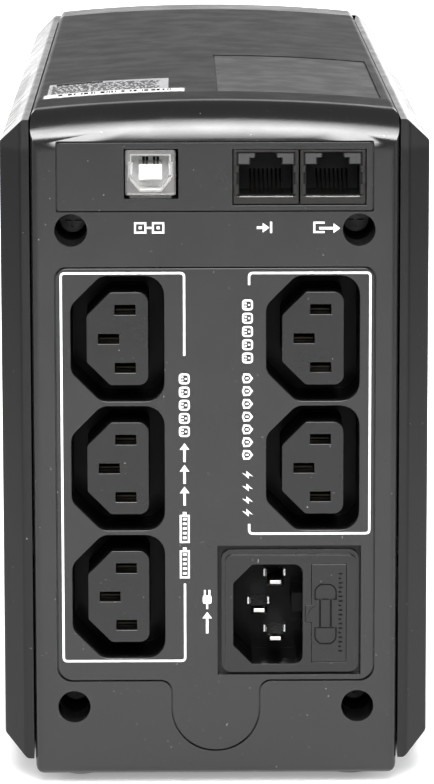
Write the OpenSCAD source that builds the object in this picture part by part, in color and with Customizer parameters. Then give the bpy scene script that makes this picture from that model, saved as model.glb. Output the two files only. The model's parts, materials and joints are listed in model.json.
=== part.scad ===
// Small tower uninterruptible power supply, seen here with its sockets at the rear (-Y).
// Origin on the floor under the middle of the case, +Z up, rear face towards -Y.

/* [Case] */
// Overall width across the side covers
case_w = 102.4; // [101.4:0.2:104]
// Overall depth from the rear face to the front face
case_d = 280; // [278:1:290]
// Height from the floor to the middle of the crowned top
case_h = 166; // [165:0.5:170]
// Width of the central body between the side covers
spine_w = 87.4; // [87:0.2:88]
// Rise of the crowned top from its edges to its middle
crown_rise = 2.2; // [1.6:0.2:2.6]
// Radius that turns the rear face into the top
crown_edge_r = 9.5; // [6:0.5:10]
// Wall thickness of the case mouldings
wall = 2.4; // [2:0.1:2.6]

/* [Rear sockets] */
// Distance of the outlet columns from the middle
outlet_x = 23.3; // [23.1:0.1:23.6]
// Height of the lowest outlet above the floor
outlet_z = 47.0; // [46.5:0.1:47.5]
// Distance from one outlet to the next
outlet_pitch = 31.45; // [31.3:0.05:31.6]
// Distance between the line and neutral pins of a mains socket
pin_pitch = 14; // [13.8:0.1:14.2]
// Width of the clear slot for a pin
slot_w = 5.0; // [4.6:0.1:5.2]

/* [Moving parts] */
// Travel of the power button
button_travel = 1.2; // [0.8:0.1:1.4]
// How far the fuse drawer pulls out
drawer_travel = 22; // [18:1:24]
// How far the battery door slides to free its hooks
door_travel = 12; // [10:1:12]
// Side clearance round moving parts
running_gap = 0.1; // [0.05:0.05:0.2]

/* [Hidden] */
$fn = 48;

// Main planes of the case
rear_y = -case_d / 2;
front_y = case_d / 2;
seam_y = rear_y + 28;
bezel_y = front_y - 22;
face_z = 4;
lip_z = 2.8;
lip_y = rear_y + 8.7;
tray_top_z = 14;
half_spine = spine_w / 2;
half_case = case_w / 2;
joint_gap = 0.3;
cover_x = half_spine + 0.35;
edge_z = case_h - crown_rise;
crown_r = (half_spine * half_spine + crown_rise * crown_rise) / (2 * crown_rise);
crown_z = case_h - crown_r;
crown_sweep = 24;
side_edge_r = 2;
cavity_top_z = edge_z - wall - 0.4;
inner_x = half_spine - wall;
rear_wall = 3.2;
overlap = 0.01;

// Side covers
cover_top_z = case_h - 3.8;
cover_low_z = face_z + 2.6;
cover_bevel = 5.6;
cover_wall = 2.0;
cover_rear_y = rear_y + 1.2;
vent_pitch = 8.5;
vent_count = 14;
vent_w = 1.8;
vent_start_y = rear_y + 22;

// Inserts of the rear face
plate_t = 1.8;
plate_back_y = rear_y + plate_t;
plate_gap = 0.35;
outlet_plate_x = 38.3;
outlet_plate_low_z = 26.0;
outlet_plate_top_z = 127.2;
tongue_x = 10.8;
tongue_low_z = 8.6;
io_plate_x = 37.7;
io_plate_low_z = 140.3;
io_plate_top_z = 157.2;

// Mains outlets
recess_w = 22.3;
recess_h = 30.3;
recess_cut = 7.2;
recess_r = 4.6;
island_w = 14.7;
island_h = 22.4;
island_cut = 5.6;
island_r = 2.3;
socket_depth = 17;
slot_h = 2.4;
line_slot_x = 1.85;
earth_slot_x = -2.1;
outlet_back_y = rear_y + 21;
block_rim = 1.2;
slot_places = [[line_slot_x, pin_pitch / 2], [line_slot_x, -pin_pitch / 2], [earth_slot_x, 0]];

// Mains inlet with its fuse drawer
inlet_x0 = 0.5;
inlet_x1 = 34.9;
inlet_z0 = 27.6;
inlet_z1 = 59.4;
cavity_x = 12.6;
cavity_z = 42.5;
cavity_w = 16.8;
cavity_h = 24.6;
inlet_floor_y = rear_y + 17;
drawer_x0 = 23.1;
drawer_x1 = 31.45;
drawer_z0 = 30.65;
drawer_z1 = 54.75;
drawer_back_y = rear_y + drawer_travel + 3;
inlet_back_y = drawer_back_y + 2;
tab_x0 = 21.6;
tab_z0 = 40.5;
tab_z1 = 44.8;
fuse_x = 27.3;
fuse_r = 2.5;
fuse_y = [rear_y + 9, rear_y + 18];
pin_places = [[1.9, pin_pitch / 2], [1.9, -pin_pitch / 2], [-2.06, 0]];

// Data sockets
usb_x = -15.25;
usb_z = 149.65;
usb_w = 12.0;
usb_h = 10.8;
jack_x = [12.1, 27.95];
jack_w = 15.5;
jack_low_z = 142.1;
jack_top_z = 155.0;
jack_back_y = rear_y + 17;
insert_w = 13.7;
insert_h = 10.4;
insert_z = jack_low_z + 1.95;
board_t = 1.6;
io_board_z = jack_low_z - board_t;

// Screws
well_x = 34.2;
well_z = [19.8, 136.0];
well_r = 3.9;
well_wall = 1.1;
well_depth = 22;
boss_r = 3.6;
screw_r = 1.5;
foot_x = 33;
foot_y = [rear_y + 18, front_y - 14];
foot_r = 7;
foot_boss_r = 3.4;
board_screw_x = 35.5;
main_screw_y = [-80, 52];
io_screw_y = -100;
foot_h = 2;

// Battery and its door
battery_x = 32.5;
battery_y0 = -36;
battery_y1 = 115;
battery_z0 = 4.6;
battery_z1 = 98.6;
lid_h = 8;
terminal_x = 24;
terminal_y = 94;
boot_top_z = 110.4;
door_x = 35;
door_y0 = -58;
door_y1 = 106;
hook_y = [-46, 24, 90];
hook_l = 10;

// Boards and the parts on them
main_board_z = 112;
main_board_y0 = -90;
main_board_y1 = 60;
main_top_z = main_board_z + board_t;
front_board_y = front_y - 16;
front_peg_x = 27;
front_peg_z = [109, 155];
window_x = 22;
window_z0 = 124;
window_z1 = 154;
button_z = 113.6;
button_r = 6.4;

// Transformer
core_x = 38;
core_y0 = -90;
core_y1 = -50;
core_z0 = 8.0;
core_z1 = 71.5;
limb_x = 12.7;
core_bolt_x = 32;
core_bolt_z = [core_z0 + 6, core_z1 - 6];
core_screw_r = 1.9;
core_screw_y = [-96, -44];

// Wire routes, in round numbers, from a socket or a terminal to its board
wire_r = 1.1;
live_routes = [
  [[25, -109.7, 117], [25, -104, 118], [20, -98, 121], [12, -91, 121], [10, -86, 118], [10, -86, 113.8]],
  [[-21, -109.7, 117], [-21, -104, 118], [-18, -98, 121], [-16, -91, 121], [-16, -86, 118],
   [-16, -86, 113.8]],
  [[14.5, -104.8, 49.5], [14, -104.4, 56], [6, -104, 75], [2, -104, 98], [2, -98, 118], [2, -91, 122],
   [2, -86, 118], [2, -86, 113.8]]
];
neutral_routes = [
  [[25, -109, 71.5], [26, -105, 76], [31, -104, 88], [33, -101, 106], [30, -95, 120], [24, -89, 121],
   [22, -86, 118], [22, -86, 113.8]],
  [[-21, -109, 40], [-19, -105, 46], [-8, -104, 60], [-5, -104, 88], [-5, -98, 118], [-6, -91, 121],
   [-6, -86, 118], [-6, -86, 113.8]]
];
earth_routes = [
  [[10.5, -104.8, 42.5], [6, -104.4, 40], [-4, -104, 34], [-16, -105, 36], [-24, -107, 42],
   [-25.4, -108.8, 47]],
  [[-25, -108.8, 78.4], [-23, -107, 84], [-10, -108, 93], [8, -108, 92], [18, -107, 86],
   [21, -108.8, 78.4]]
];
coil_routes = [for (side = [-1, 1])
  [[side * 12, -44, 58.8], [side * 13, -44, 70], [side * 18, -46, 88], [side * 28, -46, 102],
   [side * 35, -43, 112], [side * 34, -40, 119], [side * 29, -35, 119], [side * 28, -34, 113.9]]
];
red_route = [[24, 94, 110.6], [24, 94, 113], [24, 92, 116], [22, 82, 119.5], [18, 70, 121], [15, 57, 120],
             [14, 52.5, 117], [14, 52, 113.9]];
black_route = [for (p = red_route) [-p[0], p[1], p[2]]];
panel_route = [[6, 123.5, 146], [6, 117, 146], [3, 100, 138], [0, 80, 124], [0, 62, 120], [0, 54, 118],
               [0, 54, 113.9]];

// ---- Helpers ----

// A box between two corners
module box(x0, x1, y0, y1, z0, z1) {
  translate([x0, y0, z0]) cube([x1 - x0, y1 - y0, z1 - z0]);
}

// A flat outline drawn in X and Z, extruded from y0 to y1
module y_prism(y0, y1) {
  translate([0, y1, 0]) rotate([90, 0, 0]) linear_extrude(height = y1 - y0) children();
}

// A shape on the +X side together with its mirror image
module both_sides() {
  children();
  mirror([1, 0, 0]) children();
}

// A cylinder along Y
module y_rod(x, z, r, y0, y1) {
  translate([x, y1, z]) rotate([90, 0, 0]) cylinder(r = r, h = y1 - y0);
}

function unit(v) = v / norm(v);
function swing(a) = a > 180 ? a - 360 : a < -180 ? a + 360 : a;

// Points of a fillet of radius r at corner b, between neighbours a and c
function fillet(a, b, c, r, n) =
  let (u = unit(a - b), v = unit(c - b), half = acos(u * v) / 2, mid = b + unit(u + v) * r / sin(half),
       p = b + u * r / tan(half) - mid, q = b + v * r / tan(half) - mid,
       start = atan2(p[1], p[0]), turn = swing(atan2(q[1], q[0]) - start))
  [for (i = [0 : n]) mid + r * [cos(start + turn * i / n), sin(start + turn * i / n)]];

// Quarter circle about a centre, from a start angle
function quarter(centre, r, start, n = 8) =
  [for (i = [0 : n]) centre + r * [cos(start + 90 * i / n), sin(start + 90 * i / n)]];

// An outline with each corner rounded to its own radius
function rounded(pts, radii, n = 6) =
  [for (i = [0 : len(pts) - 1])
    each (radii[i] == 0 ? [pts[i]]
      : fillet(pts[(i + len(pts) - 1) % len(pts)], pts[i], pts[(i + 1) % len(pts)], radii[i], n))];

function rect(x0, z0, x1, z1) = [[x0, z0], [x1, z0], [x1, z1], [x0, z1]];

module rounded_rect(x0, z0, x1, z1, r) {
  polygon(rounded(rect(x0, z0, x1, z1), [r, r, r, r]));
}

// Outline of a mains socket: two cut corners towards the earth pin, two round ones away from it
module socket_outline(w, h, cut, far_r, near_r) {
  polygon(rounded(
    [[-w / 2 + cut, -h / 2], [w / 2, -h / 2], [w / 2, h / 2], [-w / 2 + cut, h / 2],
     [-w / 2, h / 2 - cut], [-w / 2, -h / 2 + cut]],
    [near_r, far_r, far_r, near_r, near_r, near_r]));
}

// Smooth curve through a route's points
function spline(p0, p1, p2, p3, t) =
  0.5 * (2 * p1 + (p2 - p0) * t + (2 * p0 - 5 * p1 + 4 * p2 - p3) * t * t
    + (3 * p1 - p0 - 3 * p2 + p3) * t * t * t);
function clamp_index(i, n) = i < 0 ? 0 : i > n - 1 ? n - 1 : i;
function smooth_route(p, steps) =
  [for (i = [0 : len(p) - 2], k = [0 : steps - 1])
    spline(p[clamp_index(i - 1, len(p))], p[i], p[i + 1], p[clamp_index(i + 2, len(p))], k / steps),
   p[len(p) - 1]];

// Round wire swept along a route
module wire(route, r, sides = 8, steps = 4) {
  path = smooth_route(route, steps);
  last = len(path) - 1;
  function along(i) = unit(path[min(i + 1, last)] - path[max(i - 1, 0)]);
  function across(t) = unit(cross(t, abs(t[0]) < 0.8 ? [1, 0, 0] : [0, 1, 0]));
  function next_across(u, t) = unit(u - (u * t) * t);
  frames = [for (i = 0, u = across(along(0)); i <= last;
                 i = i + 1, u = next_across(u, along(min(i, last)))) u];
  points = [for (i = [0 : last], k = [0 : sides - 1])
    let (t = along(i), u = frames[i], w = cross(t, u), a = 360 * k / sides)
    path[i] + r * (cos(a) * u + sin(a) * w)];
  rings = [for (i = [0 : last - 1], k = [0 : sides - 1])
    let (j = (k + 1) % sides)
    [i * sides + k, i * sides + j, (i + 1) * sides + j, (i + 1) * sides + k]];
  start_cap = [[for (k = [0 : sides - 1]) sides - 1 - k]];
  end_cap = [[for (k = [0 : sides - 1]) last * sides + k]];
  faces = [for (f = concat(start_cap, end_cap, rings)) [for (i = [len(f) - 1 : -1 : 0]) f[i]]];
  polyhedron(points, faces);
}

// ---- Case outlines ----

// Body of revolution under the crowned top, its two ends rounded into it
module crown_body(y0, y1, rear_r, front_r) {
  inner = crown_r - case_h - 6;
  outline = [[inner, y0], [crown_r, y0], [crown_r, y1], [inner, y1]];
  translate([0, 0, crown_z]) rotate([0, 0, -90]) rotate([0, -90, 0]) rotate([0, 0, -crown_sweep / 2])
    rotate_extrude(angle = crown_sweep, $fn = 720)
      polygon(rounded(outline, [0, rear_r, front_r, 0], 8));
}

// Central body between two planes across Y, sides and top rounded
module spine_body(y0, y1, rear_r, front_r, low_z) {
  corner_x = half_spine - side_edge_r;
  corner_z = crown_z + sqrt(pow(crown_r - side_edge_r, 2) - corner_x * corner_x) + 0.03;
  intersection() {
    crown_body(y0, y1, rear_r, front_r);
    y_prism(y0 - 1, y1 + 1)
      polygon(concat(
        [[corner_x, case_h + 1], [-corner_x, case_h + 1]],
        quarter([-corner_x, corner_z], side_edge_r, 90),
        fillet([-half_spine, case_h], [-half_spine, low_z], [half_spine, low_z], 3, 6),
        fillet([-half_spine, low_z], [half_spine, low_z], [half_spine, case_h], 3, 6),
        quarter([corner_x, corner_z], side_edge_r, 0)));
  }
}

// Cross section of a side cover on the +X side, shrunk by inset
module cover_section(inset) {
  outer = half_case - inset;
  lean = inset * 0.42;
  polygon(rounded(
    [[cover_x - 2 * inset, cover_low_z + inset], [outer - cover_bevel + lean, cover_low_z + inset],
     [outer, cover_low_z + cover_bevel + lean], [outer, cover_top_z - cover_bevel - lean],
     [outer - cover_bevel + lean, cover_top_z - inset], [cover_x - 2 * inset, cover_top_z - inset]],
    [0, 1.2, 1.2, 1.2, 1.2, 0], 4));
}

// Plan of a side cover on the +X side, shrunk by inset
module cover_plan(inset) {
  outer = half_case - inset;
  lean = inset * 0.42;
  rear = cover_rear_y + inset;
  front = bezel_y - joint_gap;
  polygon(rounded(
    [[cover_x - 2 * inset, front], [cover_x - 2 * inset, rear], [outer - 5 + lean, rear],
     [outer, rear + 5 + lean], [outer, front]],
    [0, 0, 1.2, 1.2, 0], 4));
}

module cover_solid(inset) {
  intersection() {
    y_prism(rear_y, front_y) cover_section(inset);
    linear_extrude(height = case_h) cover_plan(inset);
  }
}

// ---- Case mouldings ----

// Hooks that hold a side cover to the case, on the +X side
hook_slots = [for (y = [-96, 0, 100], z = [24, 146]) [y, z]];

module side_cover() {
  difference() {
    cover_solid(0);
    difference() {
      cover_solid(cover_wall);
      box(cover_x - 5, cover_x + 3, bezel_y - 3, bezel_y + 1, 0, case_h);
    }
    for (i = [0 : vent_count - 1])
      box(half_case - 3.4, half_case + 1, vent_start_y + i * vent_pitch - vent_w / 2,
          vent_start_y + i * vent_pitch + vent_w / 2, case_h - 38, case_h);
  }
  for (s = hook_slots)
    box(inner_x - 1, half_case - cover_wall + overlap, s[0] - 4, s[0] + 4, s[1], s[1] + 1.8);
}

module side_cover_right() {
  color("#2b2b2d") side_cover();
}

module side_cover_left() {
  color("#2b2b2d") mirror([1, 0, 0]) side_cover();
}

// Slots in a case wall for the cover hooks and, behind the vents, for air
module wall_openings() {
  for (side = [-1, 1]) {
    for (s = hook_slots)
      box(side * 42.5 - 3, side * 42.5 + 3, s[0] - 4.2, s[0] + 4.2, s[1] - 0.2, s[1] + 2.0);
    for (i = [1 : vent_count - 2])
      box(side * 42.5 - 3, side * 42.5 + 3, vent_start_y + i * vent_pitch - 1.5,
          vent_start_y + i * vent_pitch + 1.5, 128.5, 137);
  }
}

module rear_panel() {
  color("#3a3a3c") difference() {
    union() {
      difference() {
        intersection() {
          spine_body(rear_y, seam_y - joint_gap, crown_edge_r, 0, lip_z);
          linear_extrude(height = case_h + 2)
            polygon(rounded(rect(-half_spine, rear_y, half_spine, seam_y + 5), [2, 2, 0, 0]));
          rotate([90, 0, 90]) translate([0, 0, -half_spine - 1]) linear_extrude(height = spine_w + 2)
            polygon(rounded(rect(rear_y, lip_z, seam_y + 5, case_h + 5), [2.2, 0, 0, 0]));
        }
        box(-inner_x, inner_x, rear_y + rear_wall, seam_y + 1, face_z + wall, cavity_top_z);
        box(-half_spine - 1, half_spine + 1, lip_y, seam_y + 1, 0, face_z);
      }
      both_sides() {
        for (z = well_z)
          y_rod(well_x, z, well_r + well_wall, rear_y + 1, rear_y + well_depth + 2);
        translate([foot_x, foot_y[0], face_z + wall - overlap]) cylinder(r = foot_boss_r, h = 7.8);
      }
    }
    both_sides() {
      for (z = well_z) {
        y_rod(well_x, z, well_r, rear_y - 1, rear_y + well_depth);
        y_rod(well_x, z, screw_r + 0.2, rear_y, rear_y + well_depth + 3);
      }
      translate([foot_x, foot_y[0], face_z - 1]) cylinder(r = screw_r, h = 10);
    }
    y_prism(rear_y - 1, plate_back_y) outlet_plate_outline(0);
    y_prism(rear_y - 1, plate_back_y) io_plate_outline(0);
    box(-36.3, 36.3, rear_y - 1, rear_y + 5, 27.6, 126.6);
    box(-26, 36.5, rear_y - 1, rear_y + 5, 141.4, 156.2);
  }
}

module upper_case() {
  color("#3a3a3c") {
    difference() {
      spine_body(seam_y, bezel_y - joint_gap, 0, 0, face_z);
      box(-inner_x, inner_x, seam_y - 1, bezel_y + 1, -1, cavity_top_z);
      box(-60, 60, seam_y - 1, bezel_y + 1, -1, tray_top_z);
      wall_openings();
      label_recess();
    }
    both_sides() {
      screw_boss(well_z[1]);
      for (y = main_screw_y)
        side_shelf(y, main_board_z);
      side_shelf(io_screw_y, io_board_z);
    }
  }
}

// Boss for a rear screw, joined to the case wall
module screw_boss(z) {
  y0 = rear_y + well_depth + 2.1;
  length = 10.4;
  difference() {
    union() {
      y_rod(well_x, z, boss_r, y0, y0 + length);
      box(well_x, inner_x + 0.5, seam_y + 0.1, y0 + length, z - 1, z + 1);
    }
    y_rod(well_x, z, screw_r, y0 - 1, y0 + length - 1.9);
  }
}

// Shelf on a case wall that a board is screwed down to
module side_shelf(y, z) {
  difference() {
    box(32.5, inner_x + 0.5, y - 5, y + 5, z - 4, z);
    translate([board_screw_x, y, z - 3.5]) cylinder(r = 1.2, h = 5);
  }
}

// Shallow recess in the right half of the top
module label_recess() {
  crown_sheet(0.6, 40.6, seam_y + 0.8, seam_y + 91, -0.35, 2);
}

module base_tray() {
  color("#343436") difference() {
    union() {
      difference() {
        box(-half_spine, half_spine, seam_y, bezel_y - joint_gap, face_z, tray_top_z - 0.1);
        box(-inner_x, inner_x, seam_y - 1, bezel_y + 1, face_z + wall, tray_top_z + 1);
      }
      translate([0, 0, foot_h]) linear_extrude(height = face_z - foot_h)
        polygon(rounded(rect(-half_spine + 3, lip_y + joint_gap, half_spine - 3, front_y - 5), [5, 5, 5, 5]));
      box(-40, 40, seam_y + 2, bezel_y - 2, face_z - 1, face_z + 1);
      box(-35.2, 35.2, battery_y0 - 2.2, battery_y0 - 0.4, face_z + wall - overlap, 40);
      both_sides() {
        box(33.4, 35.2, -34, 112, face_z + wall - overlap, 56);
        lower_boss();
      }
    }
    door_recess();
    for (y = core_screw_y)
      translate([0, y, face_z - 1]) cylinder(r = core_screw_r + 0.1, h = 5);
    both_sides() for (y = foot_y) translate([foot_x, y, 0]) {
      cylinder(r = screw_r + 0.2, h = 8);
      cylinder(r = 3.1, h = foot_h + 1.4);
    }
  }
}

// Boss for a lower rear screw, standing on the tray floor
module lower_boss() {
  y0 = seam_y + 0.3;
  length = 14;
  difference() {
    union() {
      y_rod(well_x, well_z[0], boss_r, y0, y0 + length);
      box(well_x - 1.2, well_x + 1.2, y0, y0 + length, face_z + wall - overlap, well_z[0]);
    }
    y_rod(well_x, well_z[0], screw_r, y0 - 2, y0 + 8);
  }
}

// Recess of the battery door, with the slots its hooks run in
module door_recess() {
  slot_x0 = door_x - 1;
  slot_x1 = door_x + 1.7;
  play = 0.3;
  box(-33.2, 33.2, battery_y0 - play, battery_y1 + play, face_z - 1, face_z + wall + 1);
  box(-door_x - running_gap, door_x + running_gap, door_y0 - play, door_y1 + door_travel + 0.4, 0, face_z);
  both_sides() for (y = hook_y) {
    box(slot_x0, slot_x1, y - play, y + hook_l + door_travel + play, 3, face_z);
    box(slot_x0, slot_x1, y + door_travel - play, y + hook_l + door_travel + play, 0, face_z);
  }
}

module battery_door() {
  color("#343436") difference() {
    union() {
      box(-door_x, door_x, door_y0, door_y1, foot_h + 0.1, 3.75);
      both_sides() for (y = hook_y)
        box(door_x - 0.5, door_x + 1.5, y, y + hook_l, 3.15, 3.75);
    }
    for (i = [0 : 5])
      box(-14, 14, 78 + 4 * i, 80 + 4 * i, 0, foot_h + 0.7);
  }
}

module front_bezel() {
  color("#29292b") difference() {
    union() {
      difference() {
        front_shell();
        box(-inner_x, inner_x, bezel_y - 1, front_y - 3, face_z + wall, cavity_top_z);
      }
      both_sides() {
        translate([foot_x, foot_y[1], face_z + wall - overlap]) cylinder(r = foot_boss_r, h = 14);
        for (z = front_peg_z) {
          y_rod(front_peg_x, z, 2.6, front_board_y + board_t, front_y - 2);
          y_rod(front_peg_x, z, 1.1, front_board_y - 0.6, front_y - 3);
        }
      }
      y_prism(front_y - 9, front_y - 2) translate([0, button_z]) difference() {
        circle(r = button_r + 3.1);
        circle(r = button_r + 1.7);
      }
    }
    both_sides()
      translate([foot_x, foot_y[1], face_z - 1]) cylinder(r = screw_r, h = 13);
    y_prism(front_y - 5, front_y + 1)
      rounded_rect(-window_x, window_z0, window_x, window_z1, 3);
    y_prism(front_y - 2, front_y + 1)
      rounded_rect(-window_x - 2, window_z0 - 2, window_x + 2, window_z1 + 2, 4);
    y_rod(0, button_z, button_r + 1.7, front_y - 5, front_y + 1);
    for (i = [0 : 9])
      y_prism(front_y - 1.2, front_y + 1) rounded_rect(-26, 30 + 6 * i, 26, 32 + 6 * i, 0.9);
  }
}

// Outer form of the front: the central body and both cover sections, its edges rounded
module front_shell() {
  intersection() {
    union() {
      spine_body(bezel_y, front_y, 0, 5, face_z);
      y_prism(bezel_y, front_y) {
        cover_section(0);
        mirror([1, 0]) cover_section(0);
        translate([-cover_x - 1, cover_low_z]) square([2 * cover_x + 2, cover_top_z - cover_low_z]);
      }
    }
    linear_extrude(height = case_h + 2)
      polygon(rounded(rect(-half_case, bezel_y - 1, half_case, front_y), [0, 0, 6, 6], 8));
    rotate([90, 0, 90]) translate([0, 0, -half_case]) linear_extrude(height = case_w)
      polygon(rounded(rect(bezel_y - 1, face_z, front_y, case_h + 5), [0, 4, 0, 0]));
  }
}

module display_window() {
  color("#111214") y_prism(front_y - 1.95, front_y - 0.1)
    rounded_rect(-window_x - 1.8, window_z0 - 1.8, window_x + 1.8, window_z1 + 1.8, 3.8);
}

module display_module() {
  color("#3f5f78") difference() {
    box(-window_x + 1, window_x - 1, front_board_y + board_t, front_y - 4, window_z0 + 1, window_z1 - 1);
    box(-window_x + 4, window_x - 4, front_y - 4.8, front_y - 3, window_z0 + 4, window_z1 - 4);
  }
}

module front_board() {
  color("#1f5a35") difference() {
    box(-30, 30, front_board_y, front_board_y + board_t, 105.5, 158);
    both_sides() for (z = front_peg_z)
      y_rod(front_peg_x, z, 1.2, front_board_y - 1, front_board_y + 3);
  }
}

module button_switch() {
  color("#202020") {
    box(-3, 3, front_board_y + board_t, front_board_y + 5.2, button_z - 3, button_z + 3);
    y_rod(0, button_z, 1.6, front_board_y + 5.2 - overlap, front_board_y + 6.4);
  }
}

// Round cap with a plunger that meets the switch at the end of its travel
module power_button() {
  color("#1b1b1d") difference() {
    union() {
      y_rod(0, button_z, button_r, front_y - 4.6, front_y - 0.4);
      y_rod(0, button_z, 2.2, front_board_y + 6.4 + button_travel, front_y - 4.5);
    }
    translate([0, front_y + 24.2, button_z]) sphere(r = 25, $fn = 96);
  }
}

// Closed spring body round the plunger, between the switch and the cap
module button_spring() {
  color("silver") difference() {
    y_rod(0, button_z, 5.2, front_board_y + board_t, front_y - 4.65 - button_travel);
    y_rod(0, button_z, 4.5, front_board_y, front_y - 4);
  }
}

// Ring of clear plastic that carries light round the button
module status_light() {
  color("#8fd8a8") difference() {
    y_rod(0, button_z, button_r + 1.6, front_y - 9, front_y - 0.3);
    y_rod(0, button_z, button_r + running_gap, front_y - 10, front_y + 1);
  }
}

module feet() {
  color("#1a1a1a") both_sides() for (y = foot_y) translate([foot_x, y, 0]) difference() {
    cylinder(r = foot_r, h = foot_h);
    translate([0, 0, -1]) cylinder(r = 3.2, h = foot_h + 2);
  }
}

// ---- Rear inserts ----

module outlet_plate_outline(gap) {
  x = outlet_plate_x - gap;
  low = outlet_plate_low_z + gap;
  t = tongue_x - gap;
  polygon(rounded(
    [[-x, low], [-t, low], [-t, tongue_low_z + gap], [t, tongue_low_z + gap], [t, low], [x, low],
     [x, outlet_plate_top_z - gap], [-x, outlet_plate_top_z - gap]],
    [3.6, 2.5 + gap, t - 0.05, t - 0.05, 2.5 + gap, 3.6, 2.6, 2.6], 10));
}

module io_plate_outline(gap) {
  rounded_rect(-io_plate_x + gap, io_plate_low_z + gap, io_plate_x - gap, io_plate_top_z - gap, 0.5);
}

module each_outlet() {
  for (i = [0 : 2]) translate([-outlet_x, outlet_z + i * outlet_pitch]) children();
  for (i = [1 : 2]) translate([outlet_x, outlet_z + i * outlet_pitch]) children();
}

module recess_outline() {
  socket_outline(recess_w, recess_h, recess_cut, recess_r, 3.6);
}

module outlet_plate() {
  color("#3c3c3e") y_prism(rear_y, plate_back_y) difference() {
    outlet_plate_outline(plate_gap);
    each_outlet() recess_outline();
    translate([inlet_x0, inlet_z0]) square([inlet_x1 - inlet_x0, inlet_z1 - inlet_z0]);
  }
}

module io_plate() {
  color("#38383a") y_prism(rear_y, plate_back_y) difference() {
    io_plate_outline(plate_gap);
    translate([usb_x - usb_w / 2 - 0.3, usb_z - usb_h / 2 - 0.8]) square([usb_w + 0.9, usb_h + 1.1]);
    for (x = jack_x)
      translate([x - jack_w / 2 - 0.2, jack_low_z - 0.25])
        square([jack_w + 0.4, jack_top_z - jack_low_z + 0.45]);
  }
}

module island() {
  difference() {
    socket_outline(island_w, island_h, island_cut, island_r, 1.2);
    for (p = slot_places)
      translate(p) square([slot_w, slot_h], center = true);
  }
}

// Socket block behind the plate: a deep groove round an island for each outlet
module outlet_block(x, first, last) {
  floor_y = rear_y + socket_depth;
  z0 = outlet_z + first * outlet_pitch - recess_h / 2 - block_rim;
  z1 = outlet_z + last * outlet_pitch + recess_h / 2 + block_rim;
  half_w = recess_w / 2 + block_rim;
  y_prism(plate_back_y, floor_y) difference() {
    translate([x - half_w, z0]) square([2 * half_w, z1 - z0]);
    for (i = [first : last])
      translate([x, outlet_z + i * outlet_pitch]) recess_outline();
  }
  y_prism(floor_y - overlap, outlet_back_y) difference() {
    translate([x - half_w, z0]) square([2 * half_w, z1 - z0]);
    for (i = [first : last], p = slot_places)
      translate([x + p[0], outlet_z + i * outlet_pitch + p[1]]) square([slot_w, slot_h], center = true);
  }
  for (i = [first : last])
    translate([x, 0, outlet_z + i * outlet_pitch]) y_prism(rear_y + 0.1, floor_y) island();
}

module battery_outlets() {
  color("#232324") outlet_block(-outlet_x, 0, 2);
}

module surge_outlets() {
  color("#232324") outlet_block(outlet_x, 1, 2);
}

// Spring contact: two leaves joined to a rear tab
module socket_contact() {
  for (side = [-1, 1])
    box(-2.3, 2.3, rear_y + 6, outlet_back_y + 1.4, side * 0.85 - 0.2, side * 0.85 + 0.2);
  box(-2.3, 2.3, outlet_back_y + 1, outlet_back_y + 1.4, -1.05, 1.05);
  box(-2.4, 2.4, outlet_back_y + 1.3, outlet_back_y + 9, -0.4, 0.4);
}

module outlet_contacts() {
  color("#c9a650") for (p = slot_places) {
    for (i = [0 : 2])
      translate([-outlet_x + p[0], 0, outlet_z + i * outlet_pitch + p[1]]) socket_contact();
    for (i = [1 : 2])
      translate([outlet_x + p[0], 0, outlet_z + i * outlet_pitch + p[1]]) socket_contact();
  }
}

module cavity_outline() {
  socket_outline(cavity_w, cavity_h, 4.6, 2.2, 0.8);
}

// Housing of the mains inlet, with the bay of the fuse drawer beside the socket
module inlet_body() {
  lug_x = cavity_x + cavity_w / 2;
  color("#2c2b2d") {
    difference() {
      inlet_housing();
      translate([cavity_x, 0, cavity_z]) y_prism(rear_y - 1, inlet_floor_y) cavity_outline();
      box(drawer_x0 - running_gap, drawer_x1 + running_gap, rear_y - 1, drawer_back_y + 0.3,
          drawer_z0 - running_gap, drawer_z1 + running_gap);
      box(tab_x0 - running_gap, drawer_x0, rear_y - 1, rear_y + 3.2,
          tab_z0 - running_gap, tab_z1 + running_gap);
      for (p = pin_places)
        translate([cavity_x + p[0], 0, cavity_z + p[1]])
          box(-2, 2, inlet_floor_y - 1, inlet_back_y + 1, -1, 1);
    }
    box(lug_x - 2.6, lug_x + overlap, rear_y + 5, inlet_floor_y + overlap, cavity_z - 0.4, cavity_z + 4.2);
  }
}

// Outer form of the inlet: a stepped flange with the body behind it
module inlet_housing() {
  y_prism(rear_y + 2.6, rear_y + 4.4)
    rounded_rect(inlet_x0, inlet_z0, inlet_x1, inlet_z1, 0.6);
  y_prism(rear_y + 1.3, rear_y + 2.7)
    rounded_rect(inlet_x0 + 0.9, inlet_z0 + 0.3, inlet_x1 - 0.4, inlet_z1 - 1.2, 2.4);
  y_prism(rear_y + 0.2, rear_y + 1.4)
    rounded_rect(inlet_x0 + 1.9, inlet_z0 + 0.8, inlet_x1 - 1.2, inlet_z1 - 2.4, 1.4);
  y_prism(rear_y + 4.3, inlet_back_y)
    rounded_rect(inlet_x0 + 1.6, inlet_z0 + 1.2, inlet_x1 - 1.6, inlet_z1 - 1.4, 1.5);
}

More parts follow.
